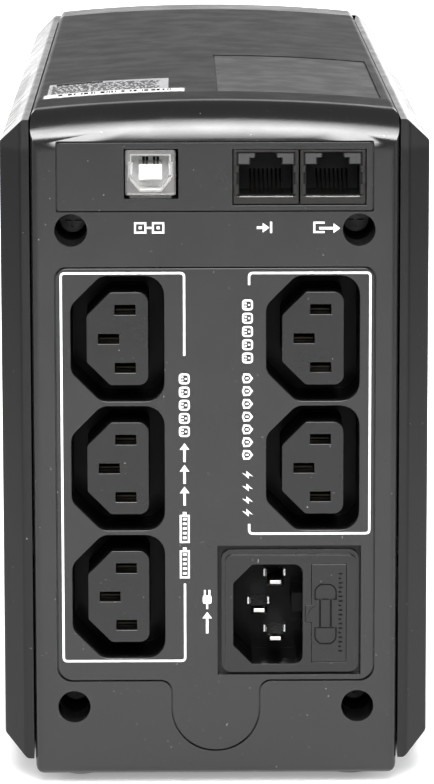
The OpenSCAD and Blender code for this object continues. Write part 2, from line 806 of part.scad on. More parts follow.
// Mains pins, tapered at the tip, with solder tabs behind
module inlet_pins() {
  tip_y = rear_y + 4.2;
  full_y = rear_y + 5.2;
  color("#d8d8d2") for (p = pin_places) translate([cavity_x + p[0], 0, cavity_z + p[1]]) {
    intersection() {
      linear_extrude(height = 2, center = true)
        polygon([[-1.3, tip_y], [1.3, tip_y], [2, full_y], [2, inlet_back_y], [-2, inlet_back_y],
                 [-2, full_y]]);
      rotate([90, 0, 90]) linear_extrude(height = 4, center = true)
        polygon([[tip_y, -0.4], [full_y, -1], [inlet_back_y, -1], [inlet_back_y, 1], [full_y, 1],
                 [tip_y, 0.4]]);
    }
    box(-2, 2, inlet_back_y - overlap, inlet_back_y + 7, -0.4, 0.4);
  }
}

// Drawer with a finger tab, a raised fuse outline on its face and two fuse wells
module fuse_drawer() {
  play = 0.4;
  well_x0 = fuse_x - fuse_r - play;
  well_x1 = fuse_x + fuse_r + play;
  color("#2e2d2f") {
    difference() {
      union() {
        box(drawer_x0, drawer_x1, rear_y + 0.25, drawer_back_y, drawer_z0, drawer_z1);
        box(tab_x0, drawer_x0 + 1, rear_y + 0.25, rear_y + 2.8, tab_z0, tab_z1);
      }
      box(drawer_x0 - 1, well_x1, fuse_y[0] - fuse_r - play, drawer_back_y - 1.5,
          drawer_z0 + 1.4, drawer_z1 - 1.4);
    }
    box(well_x0, well_x1 + overlap, fuse_y[0] + fuse_r + 0.3, fuse_y[1] - fuse_r - 0.3,
        drawer_z0 + 1.3, drawer_z1 - 1.3);
  }
}

module each_fuse() {
  for (y = fuse_y) translate([fuse_x, y, drawer_z0 + 2]) children();
}

module fuse_tubes() {
  color("#cfe3e8") each_fuse() translate([0, 0, 4.6]) difference() {
    cylinder(r = 2.3, h = 11);
    translate([0, 0, -1]) cylinder(r = 1.6, h = 13);
  }
}

module fuse_caps() {
  color("silver") each_fuse() {
    cylinder(r = fuse_r, h = 4.6);
    translate([0, 0, 15.6]) cylinder(r = fuse_r, h = 4.5);
  }
}

// Square-section data socket opening with two cut corners at the bottom
module usb_opening() {
  w = 9.3;
  h = 8.6;
  polygon([[-w / 2, h / 2], [-w / 2, h / 2 - 1.9], [-w / 2 - 0.4, h / 2 - 1.9], [-w / 2 - 0.4, -0.9],
           [-w / 2, -1.4], [-w / 2, -h / 2 + 2.6], [-w / 2 + 2.2, -h / 2], [w / 2 - 2.2, -h / 2],
           [w / 2, -h / 2 + 2.6], [w / 2, -1.4], [w / 2 + 0.4, -0.9], [w / 2 + 0.4, h / 2 - 1.9],
           [w / 2, h / 2 - 1.9], [w / 2, h / 2]]);
}

module usb_shell() {
  color("#c8c8c6") translate([usb_x, 0, usb_z]) {
    y_prism(rear_y + 0.3, rear_y + 16) difference() {
      rounded_rect(-usb_w / 2, -usb_h / 2, usb_w / 2, usb_h / 2, 0.6);
      rounded_rect(-usb_w / 2 + 0.35, -usb_h / 2 + 0.35, usb_w / 2 - 0.35, usb_h / 2 - 0.35, 0.3);
    }
    y_prism(rear_y + 0.5, rear_y + 0.9) difference() {
      rounded_rect(-usb_w / 2 + 0.2, -usb_h / 2 + 0.2, usb_w / 2 - 0.2, usb_h / 2 - 0.2, 0.3);
      usb_opening();
    }
  }
}

module usb_insulator() {
  color("#f1f0ec") {
    translate([usb_x, 0, usb_z]) {
      y_prism(rear_y + 1, rear_y + 15.9) difference() {
        rounded_rect(-usb_w / 2 + 0.4, -usb_h / 2 + 0.4, usb_w / 2 - 0.4, usb_h / 2 - 0.4, 0.3);
        usb_opening();
      }
      y_prism(rear_y + 10, rear_y + 15.9) rounded_rect(-5.3, -4.9, 5.3, 4.9, 0.3);
      y_prism(rear_y + 2, rear_y + 11) rounded_rect(-2.75, -1.75, 2.75, 1.75, 0.2);
    }
    box(usb_x - 5, usb_x + 5, rear_y + 3, rear_y + 15.5, jack_low_z, usb_z - usb_h / 2);
  }
}

module usb_contacts() {
  color("#c9a650") for (x = [-1.9, -1.05, 0.65, 1.5])
    box(usb_x + x, usb_x + x + 0.4, rear_y + 2.6, rear_y + 9.9, usb_z + 1.75, usb_z + 1.95);
}

// Stepped opening of a line jack: plug body, latch and latch slot
module jack_opening() {
  for (r = [[12.7, 144.3, 151.5], [7.4, 151, 153.4], [4.85, 153, 154.4]])
    translate([-r[0] / 2, r[1]]) square([r[0], r[2] - r[1]]);
}

// Metal shield round a line jack
module jack_shield(x) {
  translate([x, 0, 0]) y_prism(rear_y + 0.3, jack_back_y) difference() {
    rounded_rect(-jack_w / 2, jack_low_z, jack_w / 2, jack_top_z, 0.3);
    translate([-insert_w / 2 - 0.05, insert_z - 0.05]) square([insert_w + 0.1, insert_h + 0.1]);
  }
}

module line_jack_in() {
  color("#6e6e70") jack_shield(jack_x[0]);
}

module line_jack_out() {
  color("#6e6e70") jack_shield(jack_x[1]);
}

module jack_inserts() {
  floor_y = rear_y + 13;
  color("#77777a") for (x = jack_x) translate([x, 0, 0]) {
    y_prism(rear_y + 0.8, floor_y) difference() {
      translate([-insert_w / 2, insert_z]) square([insert_w, insert_h]);
      jack_opening();
    }
    y_prism(floor_y - overlap, floor_y + 3.5)
      translate([-insert_w / 2, insert_z]) square([insert_w, insert_h]);
  }
}

module jack_contacts() {
  color("#d2b25c") for (x = jack_x, i = [0 : 7])
    translate([x + (i - 3.5) * 1.02, 0, 0]) rotate([90, 0, 90]) linear_extrude(height = 0.4, center = true)
      polygon([[rear_y + 3, 144.5], [rear_y + 3.4, 144.4], [rear_y + 12.9, 148.6], [rear_y + 12.9, 149.1]]);
}

// ---- Boards ----

module io_board() {
  color("#1f5a35") difference() {
    box(-38, 38, rear_y + 5, rear_y + 46, io_board_z, jack_low_z);
    both_sides() {
      box(28.5, 39, rear_y, rear_y + 24.6, io_board_z - 1, jack_low_z + 1);
      translate([board_screw_x, io_screw_y, io_board_z - 1]) cylinder(r = 1.4, h = 4);
    }
  }
}

module main_board() {
  color("#1f5a35") difference() {
    box(-38.5, 38.5, main_board_y0, main_board_y1, main_board_z, main_top_z);
    both_sides() {
      for (y = main_screw_y)
        translate([board_screw_x, y, main_board_z - 1]) cylinder(r = 1.4, h = 4);
      box(31, 40, -49, -37, main_board_z - 1, main_top_z + 1);
    }
  }
}

// Finned aluminium bars along both sides of the main board
module heat_sinks() {
  color("#b9bcc0") both_sides() difference() {
    box(19, 31, -28, 40, main_top_z, main_top_z + 30);
    for (i = [0 : 5])
      box(22, 32, -29, 41, main_top_z + 2 + i * 5, main_top_z + 5 + i * 5);
  }
}

module power_transistors() {
  color("#242424") both_sides() for (i = [0 : 3]) translate([14.4, -22 + i * 16, main_top_z]) {
    box(0, 4.5, -5, 5, 6, 22);
    for (k = [-2.5, 0, 2.5])
      box(2, 2.6, k - 0.4, k + 0.4, 0, 6.1);
  }
}

module capacitors() {
  color("#27313f") for (p = [[-6, -6, 8, 26], [6, -24, 5, 20], [7, 10, 6.3, 22], [-5, 20, 5, 20]])
    translate([p[0], p[1], main_top_z]) difference() {
      cylinder(r = p[2], h = p[3]);
      translate([0, 0, p[3] - 0.6]) cylinder(r = p[2] - 1.2, h = 1);
      translate([0, 0, 2.2]) difference() {
        cylinder(r = p[2] + 1, h = 1);
        translate([0, 0, -1]) cylinder(r = p[2] - 0.5, h = 3);
      }
    }
}

module relays() {
  color("#20242b") for (x = [-26, -8, 10]) difference() {
    box(x, x + 15, -74, -55, main_top_z, main_top_z + 15.5);
    translate([x + 12.5, -57.5, main_top_z + 14.9]) cylinder(r = 0.8, h = 2);
  }
}

module buzzer() {
  color("#1c1c1c") translate([-24, 50, main_top_z]) difference() {
    cylinder(r = 6, h = 8);
    translate([0, 0, 6]) cylinder(r = 1, h = 4);
  }
}

module board_screw(x, y, z) {
  translate([x, y, z]) cylinder(r = 2.3, h = 1.6);
  translate([x, y, z - 4.9]) cylinder(r = 1.15, h = 5);
}

module board_screws() {
  color("#b8b8b8") both_sides() {
    for (y = main_screw_y)
      board_screw(board_screw_x, y, main_top_z);
    board_screw(board_screw_x, io_screw_y, jack_low_z);
  }
}

// ---- Transformer ----

module transformer_core() {
  color("#6c6a68") difference() {
    box(-core_x, core_x, core_y0, core_y1, core_z0, core_z1);
    both_sides() {
      box(limb_x, 2 * limb_x, core_y0 - 1, core_y1 + 1, core_z0 + limb_x, core_z1 - limb_x);
      for (z = core_bolt_z)
        y_rod(core_bolt_x, z, 2.1, core_y0 - 1, core_y1 + 1);
    }
  }
}

// Wound coil on its former round the middle limb
module transformer_winding() {
  z0 = core_z0 + limb_x + 0.3;
  z1 = core_z1 - limb_x - 0.3;
  flange_t = 1.5;
  coil = rect(-24.6, core_y0 - 10, 24.6, core_y1 + 10);
  flange = rect(-25.1, core_y0 - 11.5, 25.1, core_y1 + 11.5);
  color("#b5651d") difference() {
    union() {
      translate([0, 0, z0 + flange_t]) linear_extrude(height = z1 - z0 - 2 * flange_t)
        polygon(rounded(coil, [7, 7, 7, 7]));
      for (z = [z0, z1 - flange_t])
        translate([0, 0, z]) linear_extrude(height = flange_t) polygon(rounded(flange, [3, 3, 3, 3]));
    }
    box(-limb_x - 0.2, limb_x + 0.2, core_y0 - 0.2, core_y1 + 0.2, core_z0, core_z1);
  }
}

// Steel strap over the core with a foot on each side
module transformer_bracket() {
  t = 1.5;
  side_x = core_x + 0.1;
  top_z = core_z1 + 0.1;
  foot_z = core_z0 - 0.1;
  color("#a9aaa8") difference() {
    union() {
      box(-side_x - t, side_x + t, -76, -64, top_z, top_z + t);
      both_sides() box(side_x, side_x + t, -76, -64, foot_z - t, top_z + overlap);
      box(-side_x - t, side_x + t, -76, -64, foot_z - t, foot_z);
      box(-9, 9, core_screw_y[0] - 4, core_screw_y[1] + 4, foot_z - t, foot_z);
    }
    for (y = core_screw_y)
      translate([0, y, 0]) cylinder(r = core_screw_r + 0.2, h = 20);
  }
}

module transformer_bolts() {
  head_t = 2.5;
  color("#c4c4c0") {
    both_sides() for (z = core_bolt_z) {
      y_rod(core_bolt_x, z, core_screw_r, core_y0 - 3.4, core_y1 + 3.4);
      y_rod(core_bolt_x, z, 3.4, core_y0 - 0.1 - head_t, core_y0 - 0.1);
      y_rod(core_bolt_x, z, 3.4, core_y1 + 0.1, core_y1 + 0.1 + head_t);
    }
    for (y = core_screw_y) translate([0, y, core_z0]) {
      translate([0, 0, -0.05]) cylinder(r = 3.6, h = 2.4);
      translate([0, 0, -3.8]) cylinder(r = core_screw_r, h = 3.9);
    }
  }
}

// ---- Battery ----

module battery_case() {
  color("#2e3134") difference() {
    box(-battery_x, battery_x, battery_y0, battery_y1, battery_z0, battery_z1 - lid_h);
    both_sides() for (y = [-20, 6, 32, 58, 84])
      box(battery_x - 0.6, battery_x + 0.6, y, y + 16, battery_z0 + 14, battery_z1 - lid_h - 10);
  }
}

module battery_lid() {
  raised_z = battery_z1 - 1.5;
  top = rect(-battery_x + 3, battery_y0 + 3, battery_x - 3, battery_y1 - 3);
  color("#3d4145") difference() {
    union() {
      box(-battery_x, battery_x, battery_y0, battery_y1, battery_z1 - lid_h, raised_z + 0.1);
      translate([0, 0, raised_z]) linear_extrude(height = 1.5) polygon(rounded(top, [4, 4, 4, 4]));
    }
    both_sides() translate([terminal_x, terminal_y, 0])
      box(-6, 6, -6, 6, raised_z + 0.1, battery_z1 + 1);
  }
}

module battery_terminals() {
  color("#c9c9c4") both_sides() translate([terminal_x, terminal_y, battery_z1]) {
    box(-4.5, 4.5, -4, 4, -1.4, -0.6);
    box(-3.2, 3.2, -0.4, 0.4, -0.7, 6.6);
  }
}

module terminal_boots() {
  color("#9a2b22") both_sides() translate([terminal_x, terminal_y, battery_z1]) difference() {
    box(-4.6, 4.6, -2.2, 2.2, 0.5, boot_top_z - battery_z1);
    box(-3.3, 3.3, -0.5, 0.5, 0, 6.8);
  }
}

// ---- Wires ----

module battery_lead_red() {
  color("#b3231b") wire(red_route, 1.6);
}

module battery_lead_black() {
  color("#1a1a1a") wire(black_route, 1.6);
}

module live_wires() {
  color("#6b3f22") for (r = live_routes) wire(r, wire_r);
}

module neutral_wires() {
  color("#2c5f9e") for (r = neutral_routes) wire(r, wire_r);
}

module earth_wires() {
  color("#3e8a3a") for (r = earth_routes) wire(r, wire_r);
}

module transformer_leads() {
  color("#c9b23a") for (r = coil_routes) wire(r, wire_r);
}

module panel_cable() {
  color("#8d8d90") wire(panel_route, 1.4);
}

// ---- Fasteners and labels ----

module rear_screws() {
  color("#2a2a2a") both_sides() for (z = well_z) translate([well_x, rear_y + well_depth, z]) difference() {
    union() {
      y_rod(0, 0, 3.1, -2.2, 0);
      y_rod(0, 0, screw_r, -0.1, 10);
    }
    for (a = [0, 90]) rotate([0, a, 0])
      box(-2, 2, -3, -1, -0.4, 0.4);
  }
}

module base_screws() {
  color("#a8a8a8") both_sides() for (y = foot_y) translate([foot_x, y, 0]) difference() {
    union() {
      translate([0, 0, 1.5]) cylinder(r = 2.9, h = 1.9);
      translate([0, 0, 3.3]) cylinder(r = screw_r, h = 8);
    }
    for (a = [0, 90]) rotate([0, 0, a])
      box(-1.8, 1.8, -0.35, 0.35, 0, 2.4);
  }
}

// Thin sheet that follows the crown, between two planes across Y and two along it
module crown_sheet(x0, x1, y0, y1, lift, t) {
  translate([0, 0, crown_z]) intersection() {
    rotate([0, 0, -90]) rotate([0, -90, 0]) rotate([0, 0, -crown_sweep / 2])
      rotate_extrude(angle = crown_sweep, $fn = 720)
        translate([crown_r + lift, y0]) square([t, y1 - y0]);
    box(x0, x1, y0, y1, 0, crown_r + 5);
  }
}

module barcode_label() {
  color("#b9bbbd") {
    crown_sheet(-41.4, -7, seam_y + 1, seam_y + 8, 0, 0.12);
    crown_sheet(-40.6, -11, seam_y + 8 - overlap, seam_y + 32, 0, 0.12);
  }
}

module rating_label() {
  color("#5b5b5e") crown_sheet(1.0, 40.2, seam_y + 1.2, seam_y + 90.6, -0.35, 0.14);
}

base_tray();
upper_case();
rear_panel();
side_cover_left();
side_cover_right();
front_bezel();
display_window();
display_module();
front_board();
button_switch();
power_button();
button_spring();
status_light();
io_plate();
outlet_plate();
battery_outlets();
surge_outlets();
outlet_contacts();
inlet_body();
inlet_pins();
fuse_drawer();
fuse_tubes();
fuse_caps();
usb_shell();
usb_insulator();
usb_contacts();
line_jack_in();
line_jack_out();
jack_inserts();
jack_contacts();
io_board();
main_board();
heat_sinks();
power_transistors();
capacitors();
relays();
buzzer();
board_screws();
transformer_core();
transformer_winding();
transformer_bracket();
transformer_bolts();
battery_case();
battery_lid();
battery_terminals();
terminal_boots();
battery_lead_red();
battery_lead_black();
live_wires();
neutral_wires();
earth_wires();
transformer_leads();
panel_cable();
battery_door();
feet();
rear_screws();
base_screws();
barcode_label();
rating_label();
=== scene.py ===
"""Looks of a small tower uninterruptible power supply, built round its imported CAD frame."""

import json
import math
import random

import bmesh
import bpy
from mathutils import Matrix, Vector


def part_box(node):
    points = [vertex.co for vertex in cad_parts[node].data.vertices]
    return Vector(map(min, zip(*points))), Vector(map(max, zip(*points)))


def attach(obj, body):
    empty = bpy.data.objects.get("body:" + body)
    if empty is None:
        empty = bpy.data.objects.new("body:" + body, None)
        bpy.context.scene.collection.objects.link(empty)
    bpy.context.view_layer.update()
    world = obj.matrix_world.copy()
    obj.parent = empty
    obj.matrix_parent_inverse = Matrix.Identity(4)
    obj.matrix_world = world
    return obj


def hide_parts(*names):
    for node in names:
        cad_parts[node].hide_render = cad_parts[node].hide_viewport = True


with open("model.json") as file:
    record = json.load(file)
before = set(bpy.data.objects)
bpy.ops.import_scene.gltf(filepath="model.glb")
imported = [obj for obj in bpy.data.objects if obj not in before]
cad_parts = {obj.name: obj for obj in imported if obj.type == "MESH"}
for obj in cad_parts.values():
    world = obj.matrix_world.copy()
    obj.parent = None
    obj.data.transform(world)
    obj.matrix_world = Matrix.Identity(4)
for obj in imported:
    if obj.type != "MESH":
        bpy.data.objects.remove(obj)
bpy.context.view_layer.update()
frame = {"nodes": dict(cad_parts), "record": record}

MM = 0.001

# ---- Main planes, from the frame, in millimetres ----


def box_mm(node):
    """Lowest and highest corner of a CAD node in millimetres."""
    low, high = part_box(node)
    return low / MM, high / MM


PANEL_LOW, PANEL_HIGH = box_mm("rear_panel")
REAR_Y = PANEL_LOW.y
FRONT_Y = box_mm("front_bezel")[1].y
CASE_REAR_Y = box_mm("upper_case")[0].y
SOCKET_Y = box_mm("battery_outlets")[0].y
IO_TOP_Z = box_mm("io_plate")[1].z
COVER_TOP_Z = box_mm("side_cover_left")[1].z
HALF_SPINE = PANEL_HIGH.x
TOP_Z = PANEL_HIGH.z
CROWN_RISE = 2.2  # rise of the crowned top from its sides to its middle
CROWN_R = (HALF_SPINE**2 + CROWN_RISE**2) / (2 * CROWN_RISE)
# Painted shade in the rear-face hollows stays within HOLLOW_X of the middle.
HOLLOW_X = 40.0  # the hollows of the rear face lie within this distance from the middle
INK_T = 0.03  # height of printed ink above its surface


def crown_z(x):
    """Height of the crowned top at a distance x from the middle."""
    return TOP_Z - CROWN_R + math.sqrt(CROWN_R**2 - x * x)


# ---- Camera ----

camera_data = bpy.data.cameras.new("camera")
camera_data.sensor_width = 36
camera_data.lens = 193.05
camera_data.dof.use_dof = False
camera_data.clip_start = 0.05
camera_data.clip_end = 60
camera = bpy.data.objects.new("camera", camera_data)
bpy.context.scene.collection.objects.link(camera)
bpy.context.scene.camera = camera


def aim_camera(place, pitch, yaw, roll):
    """Puts the camera at place, looking along +Y turned by yaw, tilted down by pitch."""
    forward = Vector((math.sin(yaw) * math.cos(pitch), math.cos(yaw) * math.cos(pitch), -math.sin(pitch)))
    right = Vector((math.cos(yaw), -math.sin(yaw), 0))
    up = right.cross(forward)
    axis_x = math.cos(roll) * right - math.sin(roll) * up
    axis_y = math.sin(roll) * right + math.cos(roll) * up
    turn = Matrix((axis_x, axis_y, -forward)).transposed()
    camera.matrix_world = Matrix.Translation(Vector(place) * MM) @ turn.to_4x4()


aim_camera((-8.9, -1127.6, 274.0), math.radians(10.16), math.radians(0.54), math.radians(0.10))

# ---- Material building blocks ----


class Nodes:
    """A material's node tree with short calls to add and join nodes."""

    def __init__(self, name):
        self.material = bpy.data.materials.new(name)
        self.material.use_nodes = True
        self.tree = self.material.node_tree
        self.tree.nodes.clear()
        self.output = self.tree.nodes.new("ShaderNodeOutputMaterial")
        self.surface = self.tree.nodes.new("ShaderNodeBsdfPrincipled")
        self.join(self.surface.outputs["BSDF"], self.output.inputs["Surface"])
        place = self.tree.nodes.new("ShaderNodeTexCoord")
        to_mm = self.tree.nodes.new("ShaderNodeVectorMath")
        to_mm.operation = "SCALE"
        to_mm.inputs["Scale"].default_value = 1 / MM
        self.join(place.outputs["Object"], to_mm.inputs[0])
        self.place = to_mm.outputs[0]

    def join(self, out, into):
        self.tree.links.new(out, into)

    def put(self, value, into):
        """Joins a socket, or sets a number or colour."""
        if isinstance(value, bpy.types.NodeSocket):
            self.join(value, into)
        else:
            into.default_value = value

    def noise(self, size, detail=3.0, rough=0.55, stretch=None):
        """Noise from 0 to 1 whose features are about size millimetres across."""
        node = self.tree.nodes.new("ShaderNodeTexNoise")
        node.inputs["Scale"].default_value = 1 / size
        node.inputs["Detail"].default_value = detail
        node.inputs["Roughness"].default_value = rough
        self.join(self.stretched(stretch), node.inputs["Vector"])
        return node.outputs["Fac"]

    def axes(self):
        """The place in millimetres as separate X, Y and Z."""
        node = self.tree.nodes.new("ShaderNodeSeparateXYZ")
        self.join(self.place, node.inputs[0])
        return node.outputs

    def stretched(self, stretch):
        """The place in millimetres, scaled along each axis."""
        if stretch is None:
            return self.place
        node = self.tree.nodes.new("ShaderNodeMapping")
        node.inputs["Scale"].default_value = stretch
        self.join(self.place, node.inputs["Vector"])
        return node.outputs["Vector"]

    def cells(self, size, feature="F1", stretch=None):
        """Distance inside Voronoi cells about size millimetres across."""
        node = self.tree.nodes.new("ShaderNodeTexVoronoi")
        node.feature = feature
        node.inputs["Scale"].default_value = 1 / size
        self.join(self.stretched(stretch), node.inputs["Vector"])
        return node.outputs["Distance"]

    def wave(self, size, axis, distortion=0.0):
        """Parallel bands about size millimetres apart."""
        node = self.tree.nodes.new("ShaderNodeTexWave")
        node.bands_direction = axis
        node.wave_profile = "SIN"
        node.inputs["Scale"].default_value = 0.314 / size
        node.inputs["Distortion"].default_value = distortion
        self.join(self.place, node.inputs["Vector"])
        return node.outputs["Fac"]

    def ramp(self, value, low, high, to_low=0.0, to_high=1.0):
        """Maps low..high smoothly to to_low..to_high."""
        node = self.tree.nodes.new("ShaderNodeMapRange")
        node.interpolation_type = "SMOOTHSTEP"
        self.put(value, node.inputs["Value"])
        node.inputs["From Min"].default_value = low
        node.inputs["From Max"].default_value = high
        node.inputs["To Min"].default_value = to_low
        node.inputs["To Max"].default_value = to_high
        return node.outputs["Result"]

    def math(self, operation, a, b=0.0):
        """One arithmetic step on two sockets or numbers."""
        node = self.tree.nodes.new("ShaderNodeMath")
        node.operation = operation
        self.put(a, node.inputs[0])
        self.put(b, node.inputs[1])
        return node.outputs[0]

    def mix(self, share, a, b):
        """A colour between a and b."""
        node = self.tree.nodes.new("ShaderNodeMix")
        node.data_type = "RGBA"
        self.put(share, node.inputs["Factor"])
        self.put(a, node.inputs["A"])
        self.put(b, node.inputs["B"])
        return node.outputs["Result"]

    def bump(self, height, depth, normal=None):
        """Bump from a 0 to 1 height that stands for depth millimetres."""
        node = self.tree.nodes.new("ShaderNodeBump")
        node.inputs["Strength"].default_value = 1.0
        node.inputs["Distance"].default_value = depth * MM
        self.put(height, node.inputs["Height"])
        if normal is not None:
            self.join(normal, node.inputs["Normal"])
        return node.outputs["Normal"]

    def edges(self, radius=0.25):
        """1 where the surface turns sharply within radius millimetres, such as at a worn edge."""
        rounded = self.tree.nodes.new("ShaderNodeBevel")
        rounded.samples = 4
        rounded.inputs["Radius"].default_value = radius * MM
        plain = self.tree.nodes.new("ShaderNodeNewGeometry")
        dot = self.tree.nodes.new("ShaderNodeVectorMath")
        dot.operation = "DOT_PRODUCT"
        self.join(rounded.outputs["Normal"], dot.inputs[0])
        self.join(plain.outputs["Normal"], dot.inputs[1])
        return self.ramp(dot.outputs["Value"], 0.995, 0.85)

    def set(self, **values):
        """Sets or joins inputs of the surface, such as base_color for Base Color."""
        for name, value in values.items():
            self.put(value, self.surface.inputs[name.replace("_", " ").title().replace("Ior", "IOR")])


def rgba(color, factor=1.0):
    return (color[0] * factor, color[1] * factor, color[2] * factor, 1.0)


GRAIN = 0.3  # size of the spark-eroded grain


def moulded(name, color, rough=0.5, grain_depth=0.006, wear=0.35, specks=0.5, gloss=0.5,
            wave=0.006, hollow=None, crest=None):
    """Moulded plastic: spark-eroded grain, faint flow marks, dust specks and lighter worn edges.

    Surfaces deeper in the rear face than the plane y = hollow get painted shade: darker colour and less
    gloss, standing in for the light that real hollows lose.
    crest is (axis, low, high, gloss, rough): between low and high along that axis the skin turns to these."""
    n = Nodes(name)
    flow = n.noise(28.0, 2.0, 0.5, stretch=(1.0, 1.0, 0.35))
    fine = n.noise(GRAIN, 2.0, 0.6)
    pores = n.cells(GRAIN * 2.6)
    tone = n.mix(flow, rgba(color, 0.86), rgba(color, 1.14))
    tone = n.mix(n.ramp(fine, 0.35, 0.7, 0.0, 0.35), tone, rgba(color, 1.5))
    dust = n.ramp(n.noise(0.75, 1.0, 0.4), 0.78, 0.83, 0.0, specks)
    tone = n.mix(dust, tone, (0.32, 0.32, 0.31, 1.0))
    edge = n.math("MULTIPLY", n.edges(), n.ramp(n.noise(1.6, 3.0), 0.35, 0.65, 0.3, 1.0))
    tone = n.mix(n.math("MULTIPLY", edge, wear), tone, rgba([c * 2.2 + 0.03 for c in color]))
    level = gloss
    rougher = 0.0
    axes = n.axes()
    if crest is not None:
        axis, low, high, there, crest_rough = crest
        level = n.ramp(axes[axis], low, high, gloss, there)
        rougher = n.ramp(axes[axis], low, high, 0.0, crest_rough - rough)
    # Painted shade: darkens the colour and lowers the gloss in the hollows of the rear face, where real light
    # would not reach.
    if hollow is not None:
        aside = n.math("ABSOLUTE", axes["X"])
        painted_shade = n.ramp(axes["Y"], hollow + 0.8, hollow + 4.0)
        painted_shade = n.math("MULTIPLY", painted_shade, n.ramp(aside, HOLLOW_X - 1.5, HOLLOW_X, 1.0, 0.0))
        painted_shade = n.math("MULTIPLY", painted_shade, n.ramp(axes["Z"], IO_TOP_Z - 1.0, IO_TOP_Z, 1.0, 0.0))
        tone = n.mix(painted_shade, tone, rgba(color, 0.4))
        level = n.math("MULTIPLY", n.ramp(painted_shade, 0.0, 1.0, 1.0, 0.13), level)
    n.put(level, n.surface.inputs["Specular IOR Level"])
    n.set(base_color=tone)
    rub = n.noise(11.0, 4.0, 0.6)
    base_rough = n.math("ADD", n.ramp(rub, 0.3, 0.7, rough - 0.03, rough + 0.04), rougher)
    n.set(roughness=n.math("ADD", base_rough, n.ramp(fine, 0.3, 0.7, -0.02, 0.03)))
    skin = n.bump(fine, grain_depth)
    skin = n.bump(pores, grain_depth * 0.5, skin)
    n.set(normal=n.bump(n.noise(6.0, 1.0), wave, skin))
    return n.material


def glossy(name, color, rough=0.22, orange_peel=0.006, coat=0.0):
    """Smooth moulded or painted skin with faint waviness and hairline scratches."""
    n = Nodes(name)
    cloud = n.noise(9.0, 2.0)
    n.set(base_color=n.mix(cloud, rgba(color, 0.88), rgba(color, 1.12)))
    scratch = n.noise(0.35, 2.0, 0.5, stretch=(0.12, 1.0, 1.4))
    n.set(roughness=n.math("ADD", n.ramp(cloud, 0.2, 0.8, rough - 0.04, rough + 0.06),
                           n.ramp(scratch, 0.62, 0.72, 0.0, 0.12)))
    n.set(normal=n.bump(n.noise(1.4, 2.0), orange_peel))
    n.surface.inputs["Coat Weight"].default_value = coat
    return n.material


def metal(name, color, rough=0.3, brushed=(1.0, 1.0, 1.0), tarnish=0.3, dark_front_y=None):
    """Bare or plated metal: directional grain, tarnish clouds and brighter edges.

    In front of the plane y = dark_front_y its colour is darker."""
    n = Nodes(name)
    lines = n.noise(0.12, 3.0, 0.6, stretch=brushed)
    cloud = n.noise(4.5, 4.0, 0.65)
    tone = n.mix(n.ramp(cloud, 0.35, 0.75, 0.0, tarnish), rgba(color), rgba(color, 0.45))
    if dark_front_y is not None:
        tone = n.mix(n.ramp(n.axes()["Y"], dark_front_y, dark_front_y + 0.4), rgba(color, 0.16), tone)
    tone = n.mix(n.math("MULTIPLY", n.edges(0.12), 0.5), tone, rgba(color, 1.25))
    n.set(base_color=tone, metallic=1.0)
    n.set(roughness=n.math("ADD", n.ramp(cloud, 0.3, 0.7, rough - 0.05, rough + 0.1),
                           n.ramp(lines, 0.3, 0.7, -0.04, 0.05)))
    n.set(normal=n.bump(lines, 0.004))
    return n.material


def rubber(name, color):
    """Moulded rubber with a rough chalky skin."""
    n = Nodes(name)
    chalk = n.noise(2.2, 5.0, 0.7)
    n.set(base_color=n.mix(n.ramp(chalk, 0.4, 0.75), rgba(color), rgba([c * 1.8 + 0.012 for c in color])))
    n.set(roughness=n.ramp(chalk, 0.3, 0.7, 0.72, 0.9))
    n.set(normal=n.bump(n.noise(0.22, 3.0), 0.02))
    return n.material


def clear(name, color, rough=0.08, through=0.9):
    """Clear or tinted glass or plastic."""
    n = Nodes(name)
    smear = n.noise(7.0, 4.0, 0.65)
    n.set(base_color=n.mix(smear, rgba(color, 0.94), rgba(color, 1.0)), ior=1.49)
    n.set(roughness=n.ramp(smear, 0.3, 0.7, rough, rough + 0.08))
    n.surface.inputs["Transmission Weight"].default_value = through
    n.set(normal=n.bump(n.noise(3.0, 1.0), 0.004))
    return n.material


def board(name, color):
    """Circuit board: solder resist with tracks, pads and a faint weave of the laminate."""
    n = Nodes(name)
    tracks = n.ramp(n.cells(3.4, "DISTANCE_TO_EDGE", stretch=(1.0, 0.45, 1.0)), 0.03, 0.05, 1.0, 0.0)
    pads = n.ramp(n.cells(5.2), 0.17, 0.15)
    tone = n.mix(tracks, rgba(color), rgba((color[0] * 1.5, color[1] * 1.9, color[2] * 1.6)))
    n.set(base_color=n.mix(pads, tone, (0.62, 0.6, 0.55, 1.0)))
    n.set(metallic=pads, roughness=n.ramp(n.noise(6.0), 0.3, 0.7, 0.28, 0.42))
    weave = n.math("ADD", n.wave(0.5, "X"), n.wave(0.5, "Y"))
    n.set(normal=n.bump(tracks, 0.03, n.bump(weave, 0.004)))
    return n.material


def laminated(name, color, axis):
    """Stacked steel sheets, half a millimetre thick, seen on edge."""
    n = Nodes(name)
    sheets = n.wave(0.5, axis, 0.3)
    stain = n.noise(7.0, 4.0, 0.65)
    n.set(base_color=n.mix(n.ramp(stain, 0.35, 0.75), rgba(color), rgba((0.16, 0.09, 0.05))))
    n.set(metallic=0.85, roughness=n.ramp(stain, 0.3, 0.7, 0.38, 0.6))
    n.set(normal=n.bump(sheets, 0.05))
    return n.material


def wound(name, color):
    """Enamelled copper wire lying in turns, seen through varnish."""
    n = Nodes(name)
    turns = n.wave(0.9, "Z", 0.15)
    n.set(base_color=n.mix(n.ramp(turns, 0.05, 0.45), rgba(color, 0.25), rgba(color)))
    n.set(metallic=0.8, roughness=n.ramp(n.noise(3.0), 0.3, 0.7, 0.25, 0.42))
    n.set(normal=n.bump(turns, 0.35))
    n.surface.inputs["Coat Weight"].default_value = 0.4
    return n.material


